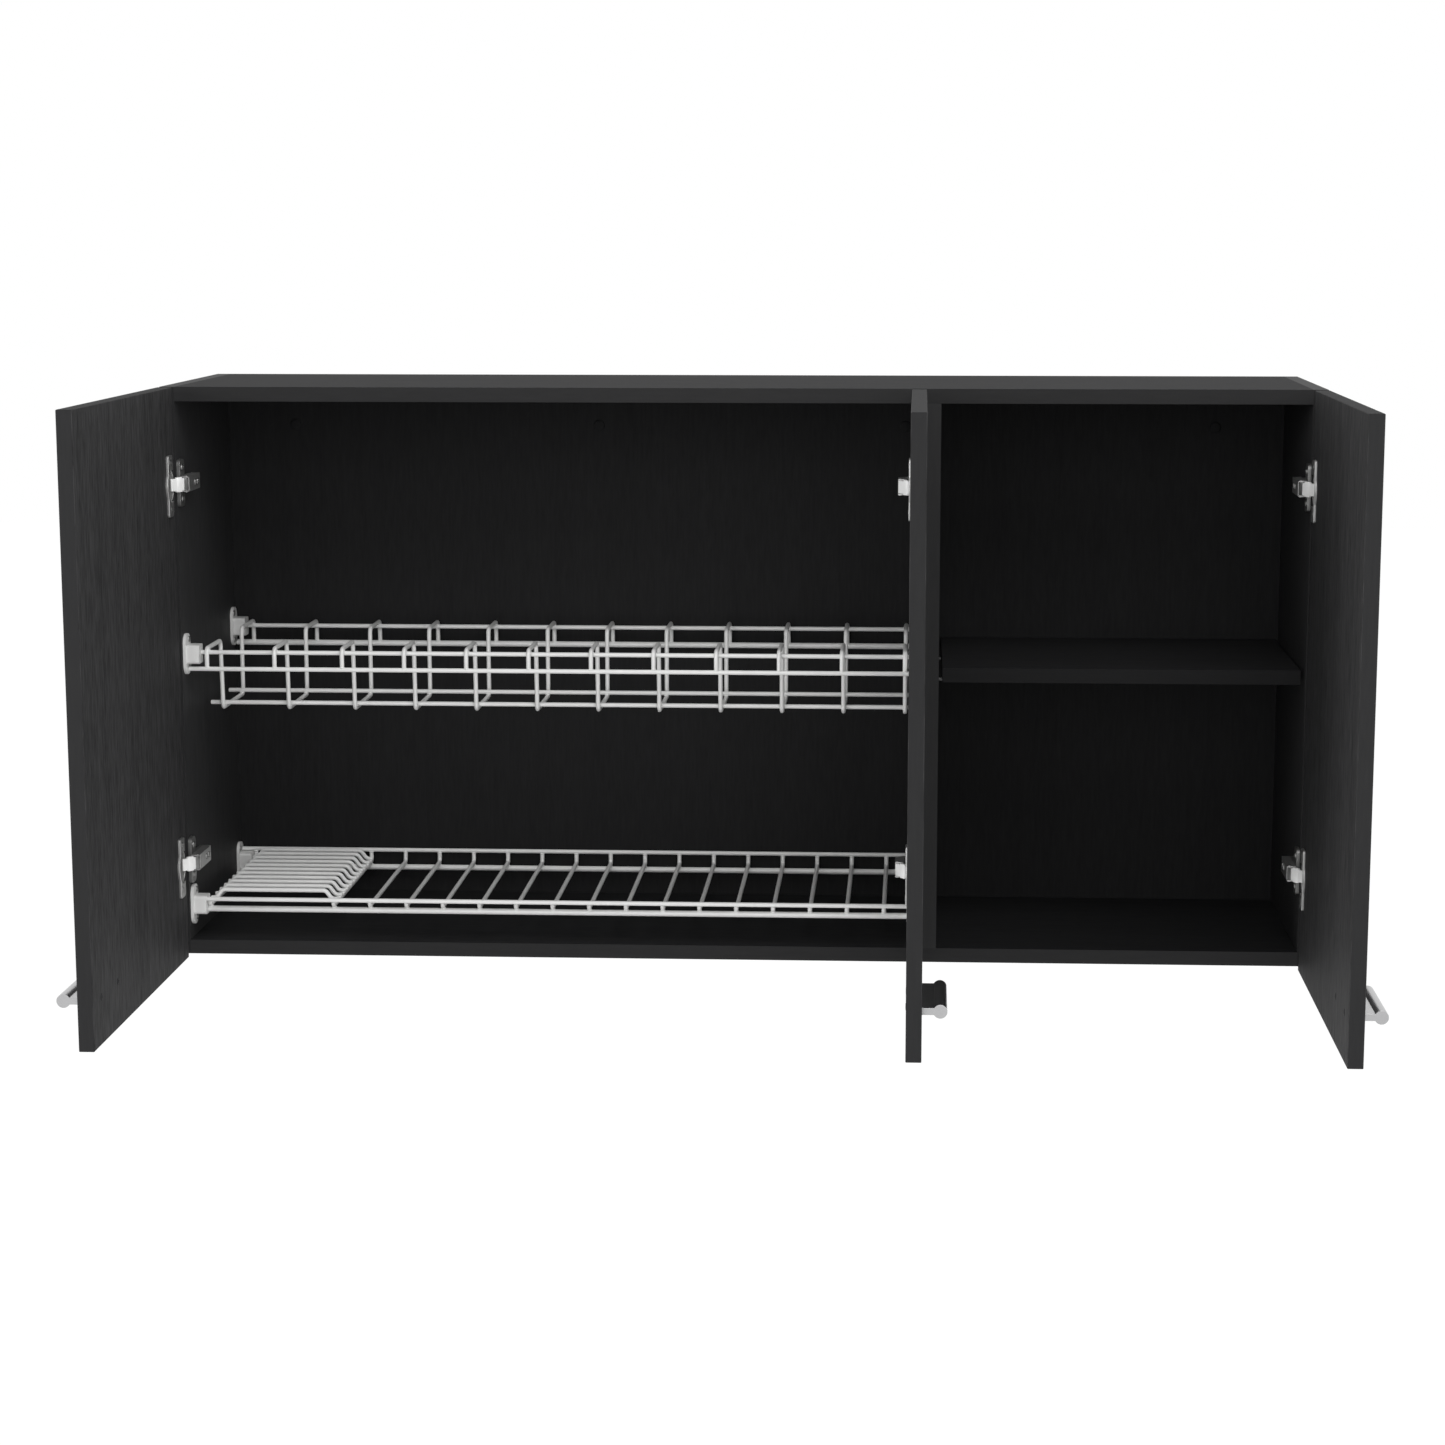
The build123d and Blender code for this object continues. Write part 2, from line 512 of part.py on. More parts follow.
# Doors with their hinges and handles
for name, hand, face, width, board in DOORS:
    handle_v = END_GAP + width - HANDLE_FROM_EDGE - HANDLE_LENGTH / 2

    # Door board, with the bores of its cups and screws
    with BuildPart() as door:
        with BuildSketch(Plane.XY.offset(BOTTOM_Z - DOOR_DROP)):
            with Locations(spot(hand, face, BOARD / 2, END_GAP + width / 2)):
                Rectangle(BOARD, width)
        extrude(amount=DOOR_HEIGHT)
        chamfer(door.edges(), length=EDGE_BREAK)
        for z in HINGE_HEIGHTS:
            bore(off_board(hand, face, BOARD, CUP_V, z), [(0, 0)], CUP_RADIUS, CUP_DEPTH)
            ear = off_board(hand, face, BOARD, CUP_V + EAR_OFFSET, z)
            bore(ear, column(EAR_SCREW_SPACING), SMALL_SCREW_RADIUS, SMALL_SCREW_LENGTH - EAR_THICKNESS)
        inner = off_board(hand, face, BOARD, handle_v, HANDLE_Z)
        bore(inner, row(HANDLE_SCREW_SPACING), HANDLE_SCREW_RADIUS, BOARD)
    door.part.label = f"{name}_door"
    export_step(door.part, f"parts/{name}_door.step")

    # Cups with their rims and ears
    with BuildPart() as cups:
        for z in HINGE_HEIGHTS:
            mouth = off_board(hand, face, BOARD, CUP_V, z)
            discs(mouth, [(0, 0)], CUP_RADIUS, -CUP_DEPTH)
            discs(mouth, [(0, 0)], RIM_RADIUS, RIM_THICKNESS)
            with BuildSketch(mouth):
                with Locations((EAR_OFFSET, 0)):
                    RectangleRounded(EAR_WIDTH, EAR_LENGTH, EAR_CORNER)
                    with Locations(*column(EAR_SCREW_SPACING)):
                        Circle(SMALL_SCREW_RADIUS + FIT, mode=Mode.SUBTRACT)
            extrude(amount=EAR_THICKNESS)
            top = mouth.offset(EAR_THICKNESS)
            discs(top, [(0, 0)], CUP_RADIUS - CUP_WALL, CUP_WALL - CUP_DEPTH - EAR_THICKNESS, Mode.SUBTRACT)
    cups.part.label = f"{name}_hinge_cups"
    export_step(cups.part, f"parts/{name}_hinge_cups.step")

    with BuildPart() as cup_screws:
        for z in HINGE_HEIGHTS:
            ear = off_board(hand, face, BOARD + EAR_THICKNESS, CUP_V + EAR_OFFSET, z)
            discs(ear, column(EAR_SCREW_SPACING), SMALL_HEAD_RADIUS, SMALL_HEAD_HEIGHT)
            discs(ear, column(EAR_SCREW_SPACING), SMALL_SCREW_RADIUS, -SMALL_SCREW_LENGTH)
    cup_screws.part.label = f"{name}_cup_screws"
    export_step(cup_screws.part, f"parts/{name}_cup_screws.step")

    # Mounting plates: a wide wing with two screws, and a narrow bed under the arm
    with BuildPart() as plates:
        for z in HINGE_HEIGHTS:
            with BuildSketch(off_board(hand, face, board, PLATE_SCREW_V, z)):
                RectangleRounded(WING_WIDTH, WING_LENGTH, WING_CORNER)
                with Locations(*column(PLATE_SCREW_SPACING)):
                    Circle(SMALL_SCREW_RADIUS + FIT, mode=Mode.SUBTRACT)
            extrude(amount=WING_THICKNESS)
            with BuildSketch(off_board(hand, face, board, -PLATE_SETBACK - PLATE_LENGTH / 2, z)):
                Rectangle(PLATE_LENGTH, PLATE_WIDTH)
            extrude(amount=PLATE_HEIGHT)
    plates.part.label = f"{name}_hinge_plates"
    export_step(plates.part, f"parts/{name}_hinge_plates.step")

    with BuildPart() as plate_screws:
        for z in HINGE_HEIGHTS:
            wing = off_board(hand, face, board + WING_THICKNESS, PLATE_SCREW_V, z)
            discs(wing, column(PLATE_SCREW_SPACING), SMALL_HEAD_RADIUS, SMALL_HEAD_HEIGHT)
            discs(wing, column(PLATE_SCREW_SPACING), SMALL_SCREW_RADIUS, -SMALL_SCREW_LENGTH)
    plate_screws.part.label = f"{name}_plate_screws"
    export_step(plate_screws.part, f"parts/{name}_plate_screws.step")

    # Arms: a channel that runs from the plate to the nose, which is open between its cheeks
    arm_top = board + PLATE_HEIGHT + ARM_HEIGHT
    pivot = spot(hand, face, PIVOT_P, PIVOT_V)
    nose = spot(hand, face, ARM_TOP - ARM_HEIGHT / 2, (ARM_FRONT + NOSE_WEB_END) / 2)
    with BuildPart() as arms:
        for z in HINGE_HEIGHTS:
            for inset, half, mode in (
                (0, ARM_WIDTH / 2, Mode.ADD),
                (ARM_WALL, ARM_WIDTH / 2 - ARM_WALL, Mode.SUBTRACT),
            ):
                with BuildSketch(Plane.XY.offset(z - half)):
                    with BuildLine():
                        corners = [spot(hand, face, p, v) for p, v in arm_outline(arm_top, inset)]
                        Polyline(*corners, close=True)
                    make_face()
                extrude(amount=2 * half, mode=mode)
            with BuildSketch(Plane.XY.offset(z - ARM_WIDTH / 2 + ARM_WALL)):
                with Locations(nose):
                    Rectangle(ARM_HEIGHT, ARM_FRONT - NOSE_WEB_END)
            extrude(amount=ARM_WIDTH - 2 * ARM_WALL, mode=Mode.SUBTRACT)
            bore(Plane.XY.offset(z + ARM_WIDTH / 2), [pivot], PIVOT_RADIUS, ARM_WIDTH)
            web = off_board(hand, face, arm_top, ARM_SCREW_V, z)
            bore(web, row(ARM_SCREW_SPACING), SMALL_SCREW_RADIUS, ARM_WALL)
    arms.part.label = f"{name}_hinge_arms"
    export_step(arms.part, f"parts/{name}_hinge_arms.step")

    with BuildPart() as arm_screws:
        for z in HINGE_HEIGHTS:
            web = off_board(hand, face, arm_top, ARM_SCREW_V, z)
            discs(web, row(ARM_SCREW_SPACING), ARM_SCREW_HEAD_RADIUS, ARM_SCREW_HEAD_HEIGHT)
            discs(web, row(ARM_SCREW_SPACING), SMALL_SCREW_RADIUS, -ARM_HEIGHT)
    arm_screws.part.label = f"{name}_arm_screws"
    export_step(arm_screws.part, f"parts/{name}_arm_screws.step")

    # Pins across the noses, headed at both ends
    with BuildPart() as pins:
        for z in HINGE_HEIGHTS:
            discs(Plane.XY.offset(z - ARM_WIDTH / 2), [pivot], PIVOT_RADIUS, ARM_WIDTH)
            discs(Plane.XY.offset(z - ARM_WIDTH / 2), [pivot], PIVOT_HEAD_RADIUS, -PIVOT_HEAD_HEIGHT)
            discs(Plane.XY.offset(z + ARM_WIDTH / 2), [pivot], PIVOT_HEAD_RADIUS, PIVOT_HEAD_HEIGHT)
    pins.part.label = f"{name}_hinge_pins"
    export_step(pins.part, f"parts/{name}_hinge_pins.step")

    # Links from the noses into the cups, turning on the pins
    with BuildPart() as links:
        for z in HINGE_HEIGHTS:
            with BuildSketch(Plane.XY.offset(z - LINK_WIDTH / 2)):
                with Locations(pivot):
                    Circle(LINK_EYE_RADIUS)
                with Locations(spot(hand, face, LINK_TIP_P, LINK_TIP_V)):
                    Circle(LINK_TIP_RADIUS)
                make_hull()
                with Locations(pivot):
                    Circle(PIVOT_RADIUS + FIT, mode=Mode.SUBTRACT)
            extrude(amount=LINK_WIDTH)
    links.part.label = f"{name}_hinge_links"
    export_step(links.part, f"parts/{name}_hinge_links.step")

    # Handle: a round bar on a flat leg, low on the outer face near the free edge
    handle_x, handle_y = spot(hand, face, 0, handle_v - HANDLE_LENGTH / 2)
    outer = off_board(hand, face, 0, handle_v, HANDLE_Z)
    end = Plane(origin=(handle_x, handle_y, HANDLE_Z), x_dir=(hand, 0, 0), z_dir=(0, -1, 0))
    with BuildPart() as handle:
        with BuildSketch(end):
            with Locations((HANDLE_REACH / 2, 0)):
                Rectangle(HANDLE_REACH, HANDLE_LEG)
            with Locations((HANDLE_REACH, 0)):
                Circle(HANDLE_BULB_RADIUS)
        extrude(amount=HANDLE_LENGTH)
        bore(outer, row(HANDLE_SCREW_SPACING), HANDLE_SCREW_RADIUS, HANDLE_SCREW_BITE)
    handle.part.label = f"{name}_handle"
    export_step(handle.part, f"parts/{name}_handle.step")

    with BuildPart() as handle_screws:
        discs(inner, row(HANDLE_SCREW_SPACING), HANDLE_HEAD_RADIUS, SMALL_HEAD_HEIGHT)
        discs(inner, row(HANDLE_SCREW_SPACING), HANDLE_SCREW_RADIUS, -BOARD - HANDLE_SCREW_BITE)
    handle_screws.part.label = f"{name}_handle_screws"
    export_step(handle_screws.part, f"parts/{name}_handle_screws.step")

# Plate rack: wires bent into a trough between two lips
with BuildPart() as plate_rack_wires:
    x = RACK_LEFT + PLATE_WIRE_FIRST
    for i in range(PLATE_WIRE_COUNT):
        add_wire(PLATE_WIRE_PATH, WIRE_RADIUS, upright(x, 1))
        x += PLATE_WIRE_PITCH * (WIDE_BAY_SHARE if i < WIDE_BAY_COUNT else 1)
plate_rack_wires.part.label = "plate_rack_wires"
export_step(plate_rack_wires.part, "parts/plate_rack_wires.step")

# Rails of both racks, between the bracket plates or held by the wires alone
for name, rails in (("plate_rack_rails", PLATE_RACK_RAILS), ("cup_rack_rails", CUP_RACK_RAILS)):
    with BuildPart() as rack_rails:
        for y, z, radius, inset in rails:
            discs(upright(RACK_LEFT + inset, 1), [(y, z)], radius, RACK_RIGHT - RACK_LEFT - 2 * inset)
    rack_rails.part.label = name
    export_step(rack_rails.part, f"parts/{name}.step")

# Cup rack: cross wires on two thick rails, turned up to a thin rail at both ends
with BuildPart() as cup_rack_wires:
    for x in [SIDE_WIRE_X] + [CUP_WIRE_X + i * CUP_WIRE_PITCH for i in range(CUP_WIRE_COUNT)]:
        add_wire(CUP_WIRE_PATH, WIRE_RADIUS, upright(x, 1))
cup_rack_wires.part.label = "cup_rack_wires"
export_step(cup_rack_wires.part, "parts/cup_rack_wires.step")

# Saucer comb: raised wires along the cabinet, over the left end of the cup rack
with BuildPart() as saucer_comb:
    for i in range(COMB_COUNT):
        comb = Plane.XZ.offset(RACK_FRONT - COMB_FRONT_INSET - i * COMB_PITCH)
        add_wire(COMB_PATH, WIRE_RADIUS, comb)
saucer_comb.part.label = "saucer_comb"
export_step(saucer_comb.part, "parts/saucer_comb.step")

# Brackets of the racks: a rounded plate with a boss that holds the rails' ends
for name, centre_z, held_rails in (
    ("plate_rack_brackets", PLATE_BRACKET_Z, (PLATE_RACK_RAILS[:1], PLATE_RACK_RAILS[1:2])),
    ("cup_rack_brackets", CUP_BRACKET_Z, (CUP_RACK_RAILS[0:3:2], CUP_RACK_RAILS[1:2])),
):
    with BuildPart() as brackets:
        for x, side in ((RACK_LEFT, 1), (RACK_RIGHT, -1)):
            for (plate_y, shift), rails in zip(BRACKET_SPOTS, held_rails):
                centre = beside(side, [(plate_y, centre_z)])
                screws = [(plate_y + shift, centre_z + z) for _, z in column(BRACKET_SCREW_SPACING)]
                with BuildSketch(upright(x, side)):
                    with Locations(*centre):
                        RectangleRounded(BRACKET_WIDTH, BRACKET_HEIGHT, BRACKET_CORNER)
                    with Locations(*beside(side, screws)):
                        Circle(BRACKET_SCREW_RADIUS + FIT, mode=Mode.SUBTRACT)
                extrude(amount=BRACKET_THICKNESS)
                with BuildSketch(upright(x + side * BRACKET_THICKNESS, side)):
                    with Locations(*centre):
                        RectangleRounded(BOSS_WIDTH, BOSS_HEIGHT, BOSS_CORNER)
                    for rail_y, rail_z, radius, _ in rails:
                        with Locations(*beside(side, [(rail_y, rail_z)])):
                            Circle(radius + FIT, mode=Mode.SUBTRACT)
                extrude(amount=BOSS_REACH)
    brackets.part.label = name
    export_step(brackets.part, f"parts/{name}.step")

with BuildPart() as bracket_screws:
    for x, side in ((RACK_LEFT, 1), (RACK_RIGHT, -1)):
        top = upright(x + side * BRACKET_THICKNESS, side)
        discs(top, beside(side, BRACKET_SCREWS), BRACKET_HEAD_RADIUS, BRACKET_HEAD_HEIGHT)
        discs(top, beside(side, BRACKET_SCREWS), BRACKET_SCREW_RADIUS, -BRACKET_SCREW_LENGTH)
bracket_screws.part.label = "bracket_screws"
export_step(bracket_screws.part, "parts/bracket_screws.step")
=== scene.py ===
"""Looks of the open wall cabinet: finishes, round wires, screws, hinge parts, floor, lights and camera."""
import json
import math

import bmesh
import bpy
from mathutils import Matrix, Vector

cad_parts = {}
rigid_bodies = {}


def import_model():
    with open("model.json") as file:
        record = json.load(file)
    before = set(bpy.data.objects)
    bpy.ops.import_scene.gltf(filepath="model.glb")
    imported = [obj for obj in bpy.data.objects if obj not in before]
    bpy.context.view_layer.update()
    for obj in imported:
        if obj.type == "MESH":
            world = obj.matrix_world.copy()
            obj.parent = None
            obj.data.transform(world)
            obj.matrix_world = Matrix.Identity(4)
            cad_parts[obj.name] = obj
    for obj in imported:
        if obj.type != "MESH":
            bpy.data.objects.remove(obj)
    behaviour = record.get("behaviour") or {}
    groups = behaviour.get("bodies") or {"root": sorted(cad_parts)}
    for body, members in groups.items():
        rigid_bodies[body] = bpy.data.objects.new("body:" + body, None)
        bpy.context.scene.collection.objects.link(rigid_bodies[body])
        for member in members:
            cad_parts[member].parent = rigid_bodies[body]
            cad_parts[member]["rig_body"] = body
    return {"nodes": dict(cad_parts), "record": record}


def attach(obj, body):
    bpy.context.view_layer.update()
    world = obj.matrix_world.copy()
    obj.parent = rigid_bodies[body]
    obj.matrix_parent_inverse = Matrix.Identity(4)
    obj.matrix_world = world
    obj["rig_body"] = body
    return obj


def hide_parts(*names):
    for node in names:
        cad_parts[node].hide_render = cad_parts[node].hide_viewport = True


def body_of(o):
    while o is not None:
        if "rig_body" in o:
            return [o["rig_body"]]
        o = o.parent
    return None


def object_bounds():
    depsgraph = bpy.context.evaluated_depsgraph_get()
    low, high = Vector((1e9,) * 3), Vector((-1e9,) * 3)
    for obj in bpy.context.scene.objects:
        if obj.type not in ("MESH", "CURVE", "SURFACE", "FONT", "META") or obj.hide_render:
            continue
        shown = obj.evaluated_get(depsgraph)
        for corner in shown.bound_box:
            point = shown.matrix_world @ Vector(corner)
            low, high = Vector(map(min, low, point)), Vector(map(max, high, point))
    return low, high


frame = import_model()
cad_box = [list(corner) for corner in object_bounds()]
parts = frame["nodes"]
SIDES = ("left", "middle", "right")
MM = 0.001

# Camera, solved from the photograph's straight edges, in metres, radians and pixels
IMAGE_SIZE = 1445
FOCAL_PIXELS = 3230.15
CENTRE_COLUMN = 750.46
CENTRE_ROW = 789.43
CAMERA_PLACE = (0.18607, -3.60757, 0.22612)
CAMERA_YAW = 0.0523
CAMERA_PITCH = 0.1749
SENSOR = 36.0
CLIP_START, CLIP_END = 0.05, 100

# Surroundings, in metres and as shares of white
FLOOR_DROP = 1.45
FLOOR_SIZE = 40.0
FLOOR_COLOUR = (0.86, 0.86, 0.86)
FLOOR_ROUGHNESS = 0.8
FLOOR_WHITE_SHARE = 0.88
FLOOR_WHITE = 1.1
AMBIENT = 0.5
BACKDROP_WHITE = 1.0

# Lamps: name, place, target and size in metres, power in watts
LAMPS = (
    ("key", (0.9, -2.6, 2.3), (0, -0.3, -0.2), (2.4, 1.6), 44),
    ("front", (0.0, -4.2, 0.5), (0, 0, -0.2), (3.0, 2.0), 29),
    ("left_fill", (-3.0, -2.0, 0.1), (0.3, -0.2, -0.25), (1.6, 1.8), 50),
    ("right_fill", (3.0, -2.0, 0.1), (-0.3, -0.2, -0.25), (1.6, 1.8), 28),
)

# Finishes, as linear colours
CARCASS_TONES = ((0.0170, 0.0170, 0.0177), (0.0232, 0.0232, 0.0241))
CARCASS_EDGE = (0.0285, 0.0284, 0.0290)
# The side panels' face tones are raised above the carcass's as painted light, for light falling on their
# inner faces, over the board's own grain
SIDE_TONES_LIT = ((0.0310, 0.0310, 0.0318), (0.0430, 0.0430, 0.0440))
# The side panels' front edges are darkened as painted shade, for the narrow gap behind the open doors
SIDE_EDGE_SHADED = (0.0188, 0.0188, 0.0194)
UPRIGHT_TONES = ((0.0198, 0.0198, 0.0205), (0.0270, 0.0270, 0.0278))
# The shelf's front edge is darkened as painted shade, for its place set back inside the carcass
SHELF_EDGE_SHADED = (0.0122, 0.0122, 0.0127)
DOOR_TONES = ((0.0232, 0.0231, 0.0236), (0.0580, 0.0577, 0.0588))
DOOR_EDGE = (0.0275, 0.0275, 0.0282)
# The back's tones are kept darker than the other boards as painted shade, for the cabinet's dim inside
BACK_TONES_SHADED = ((0.0120, 0.0120, 0.0125), (0.0162, 0.0162, 0.0168))
BEECH_TONES = ((0.336, 0.2, 0.096), (0.42, 0.25, 0.12))
WIRE_WHITE = (0.88, 0.88, 0.87)
PLASTIC_WHITE = (0.80, 0.80, 0.79)
STEEL = (0.52, 0.52, 0.515)
# The hinge links' near-white is a painted highlight, standing in for a lamp's glint on their plated steel
LINK_WHITE_HIGHLIGHT = (0.98, 0.98, 0.97)
PLATE_STEEL = (0.34, 0.34, 0.335)
SCREW_STEEL = (0.36, 0.36, 0.355)
PIN_STEEL = (0.09, 0.09, 0.09)
SCREW_BLACK = (0.02, 0.02, 0.021)
HANDLE_METAL = (0.45, 0.45, 0.455)

# Board grain: noise features to the metre along and across it, their shares, the noise that the colours
# span, how much duller and glossier it gets, and its depth; below this share of its thin axis a face is edge
FIBRES, BANDS, PORES = (34.0, 330.0), (4.0, 90.0), (110.0, 1400.0)
BAND_SHARE, PORE_SHARE = 0.25, 0.14
GRAIN_SPAN, RIM_SPAN = (0.38, 0.62), (0.2, 0.8)
RIM_SPREAD = 0.08
BOARD_DULLER, BOARD_GLOSSIER = 0.07, 0.05
BOARD_EDGE, GRAIN_DEPTH = 0.5 * MM, 0.3 * MM
EDGE_LIMIT = 0.5

# Coats, plastic and metal: noise features to the metre, and how far they change colour, gloss and skin
MOTTLE, CLOUDS = 900.0, 60.0
CLOUD_SPAN = (0.3, 0.7)
GLOSS_SPREAD = 0.2
SKIN_DEPTH = 0.1 * MM
BEVEL_SAMPLES = 4


# --- Finishes ---

def node_maker(tree):
    """A function that adds a node to a tree, with its inputs linked or set."""
    def add(kind, inputs=None, **settings):
        node = tree.nodes.new(kind)
        for key, value in settings.items():
            setattr(node, key, value)
        for key, value in (inputs or {}).items():
            if isinstance(value, bpy.types.NodeSocket):
                tree.links.new(value, node.inputs[key])
            else:
                node.inputs[key].default_value = value
        return node

    return add


def new_material(name):
    """A material with nodes, its shader, and makers of its nodes and of links into its shader."""
    material = bpy.data.materials.new(name)
    material.use_nodes = True
    tree = material.node_tree
    shader = next(node for node in tree.nodes if node.type == "BSDF_PRINCIPLED")

    def join(output, socket):
        tree.links.new(output, shader.inputs[socket])

    return material, shader, node_maker(tree), join


def ramp(add, source, places, colours):
    """A colour ramp from one linear colour to another between two places."""
    node = add("ShaderNodeValToRGB", {"Fac": source})
    for element, place, colour in zip(node.color_ramp.elements, places, colours):
        element.position = place
        element.color = (*colour, 1)
    return node.outputs["Color"]


def larger(add, first, second):
    """The larger of two outputs."""
    return add("ShaderNodeMath", {0: first, 1: second}, operation="MAXIMUM").outputs[0]


def streaks(add, place, grain, density, **inputs):
    """Noise drawn out along the grain, with so many features to the metre along and across it."""
    scale = [density[0] if axis == grain else density[1] for axis in "XYZ"]
    stretched = add("ShaderNodeMapping", {"Vector": place, "Scale": scale}).outputs["Vector"]
    return add("ShaderNodeTexNoise", {"Vector": stretched, "Scale": 1.0, **inputs}).outputs["Fac"]


def board(name, grain, thin, faces, rim, roughness, specular, relief):
    """Melamine-faced board, grained on the faces across its thin axis and plainer on its edges."""
    material, shader, add, join = new_material(name)
    place = add("ShaderNodeTexCoord").outputs["Object"]
    fibres = streaks(add, place, grain, FIBRES, Detail=4.0, Roughness=0.65, Distortion=0.3)
    bands = streaks(add, place, grain, BANDS, Detail=3.0, Roughness=0.55, Distortion=0.5)
    pores = streaks(add, place, grain, PORES, Detail=2.0)
    mixed = add("ShaderNodeMix", {"Factor": BAND_SHARE, "A": fibres, "B": bands}).outputs[0]
    mixed = add("ShaderNodeMix", {"Factor": PORE_SHARE, "A": mixed, "B": pores}).outputs[0]
    # The face and edge colours passed in carry painted light or shade for some boards, as noted with the
    # finishes
    grained = ramp(add, mixed, GRAIN_SPAN, faces)
    rims = [[c * share for c in rim] for share in (1 - RIM_SPREAD, 1 + RIM_SPREAD)]
    banded = ramp(add, fibres, RIM_SPAN, rims)

    normal = add("ShaderNodeSeparateXYZ", {0: add("ShaderNodeTexCoord").outputs["Normal"]})
    facing = add("ShaderNodeMath", {0: normal.outputs["XYZ".index(thin)]}, operation="ABSOLUTE")
    on_rim = add("ShaderNodeMath", {0: facing.outputs[0], 1: EDGE_LIMIT}, operation="LESS_THAN")
    both = add("ShaderNodeMix", data_type="RGBA")
    sockets = {socket.identifier: socket for socket in [*both.inputs, *both.outputs]}
    for socket, source in (("Factor_Float", on_rim.outputs[0]), ("A_Color", grained), ("B_Color", banded)):
        material.node_tree.links.new(source, sockets[socket])
    join(sockets["Result_Color"], "Base Color")

    dull, glossy = roughness + BOARD_DULLER, roughness - BOARD_GLOSSIER
    rough = add("ShaderNodeMapRange", {"Value": mixed, "To Min": dull, "To Max": glossy})
    join(rough.outputs["Result"], "Roughness")
    edge = add("ShaderNodeBevel", {"Radius": BOARD_EDGE}, samples=BEVEL_SAMPLES).outputs[0]
    bump = {"Height": mixed, "Strength": relief, "Distance": GRAIN_DEPTH, "Normal": edge}
    join(add("ShaderNodeBump", bump).outputs["Normal"], "Normal")
    shader.inputs["Specular IOR Level"].default_value = specular
    return material


def plain(name, colour, roughness, metallic=0.0, spread=0.06, bump=0.15, edge=0.4, coat=0.0, specular=0.5):
    """A coated, moulded or plated finish with a mottle in its colour, gloss and skin."""
    material, shader, add, join = new_material(name)
    place = add("ShaderNodeTexCoord").outputs["Object"]
    mottle = add("ShaderNodeTexNoise", {"Vector": place, "Scale": MOTTLE, "Detail": 5.0, "Roughness": 0.6})
    clouds = add("ShaderNodeTexNoise", {"Vector": place, "Scale": CLOUDS, "Detail": 3.0})
    tones = [[min(c * share, 1) for c in colour] for share in (1 - spread, 1 + spread)]
    join(ramp(add, clouds.outputs["Fac"], CLOUD_SPAN, tones), "Base Color")

    low, high = roughness * (1 - GLOSS_SPREAD), roughness * (1 + GLOSS_SPREAD)
    rough = add("ShaderNodeMapRange", {"Value": mottle.outputs["Fac"], "To Min": low, "To Max": high})
    join(rough.outputs["Result"], "Roughness")
    rounded = add("ShaderNodeBevel", {"Radius": edge * MM}, samples=BEVEL_SAMPLES).outputs[0]
    skin = {"Height": mottle.outputs["Fac"], "Strength": bump, "Distance": SKIN_DEPTH, "Normal": rounded}
    join(add("ShaderNodeBump", skin).outputs["Normal"], "Normal")
    for socket, value in (("Metallic", metallic), ("Coat Weight", coat), ("Specular IOR Level", specular)):
        shader.inputs[socket].default_value = value
    return material


# Boards, with the axis of their grain and their thin axis
# The side panels carry painted light on their faces and painted shade on their front edges
side_board_lit_shaded = board("side_board_lit_shaded", "Z", "X", SIDE_TONES_LIT, SIDE_EDGE_SHADED, roughness=0.55, specular=0.1, relief=0.1)
upright_board = board(
    "upright_board", "Z", "X", UPRIGHT_TONES, CARCASS_EDGE, roughness=0.55, specular=0.1, relief=0.1)
level_board = board(
    "level_board", "X", "Z", CARCASS_TONES, CARCASS_EDGE, roughness=0.62, specular=0.03, relief=0.1)
# The shelf's edge colour is painted shade
shelf_board_shaded_edge = board(
    "shelf_board_shaded_edge", "X", "Z", CARCASS_TONES, SHELF_EDGE_SHADED, roughness=0.55, specular=0.08, relief=0.1)
door_board = board("door_board", "Z", "X", DOOR_TONES, DOOR_EDGE, roughness=0.6, specular=0.03, relief=0.3)
# The back and its wall screw caps carry painted shade for the dim inside
back_board = board(
    "back_board", "Z", "Y", BACK_TONES_SHADED, BACK_TONES_SHADED[0], roughness=0.6, specular=0.1, relief=0.05)
beech = board("beech", "X", "Z", BEECH_TONES, BEECH_TONES[1], roughness=0.6, specular=0.4, relief=0.2)

wire_coat = plain("wire_coat", WIRE_WHITE, roughness=0.32, spread=0.02, coat=0.2, edge=0.2)
white_plastic = plain("white_plastic", PLASTIC_WHITE, roughness=0.38, spread=0.02, edge=0.8)
hinge_steel = plain("hinge_steel", STEEL, roughness=0.34, metallic=0.85, bump=0.03, edge=0.5)
plate_steel = plain("plate_steel", PLATE_STEEL, roughness=0.34, metallic=0.85, bump=0.03, edge=0.5)
# The links' near-white, barely metallic finish is a painted highlight for a lamp's glint
link_painted_highlight = plain("link_painted_highlight", LINK_WHITE_HIGHLIGHT, roughness=0.3, metallic=0.1, spread=0.02, bump=0.03, edge=0.6)
screw_steel = plain("screw_steel", SCREW_STEEL, roughness=0.34, metallic=1.0, edge=0.2)
pin_steel = plain("pin_steel", PIN_STEEL, roughness=0.4, metallic=0.85, edge=0.3)
screw_black = plain("screw_black", SCREW_BLACK, roughness=0.6, edge=0.2, specular=0.1)
handle_metal = plain("handle_metal", HANDLE_METAL, roughness=0.3, metallic=1.0, spread=0.03, bump=0.05)

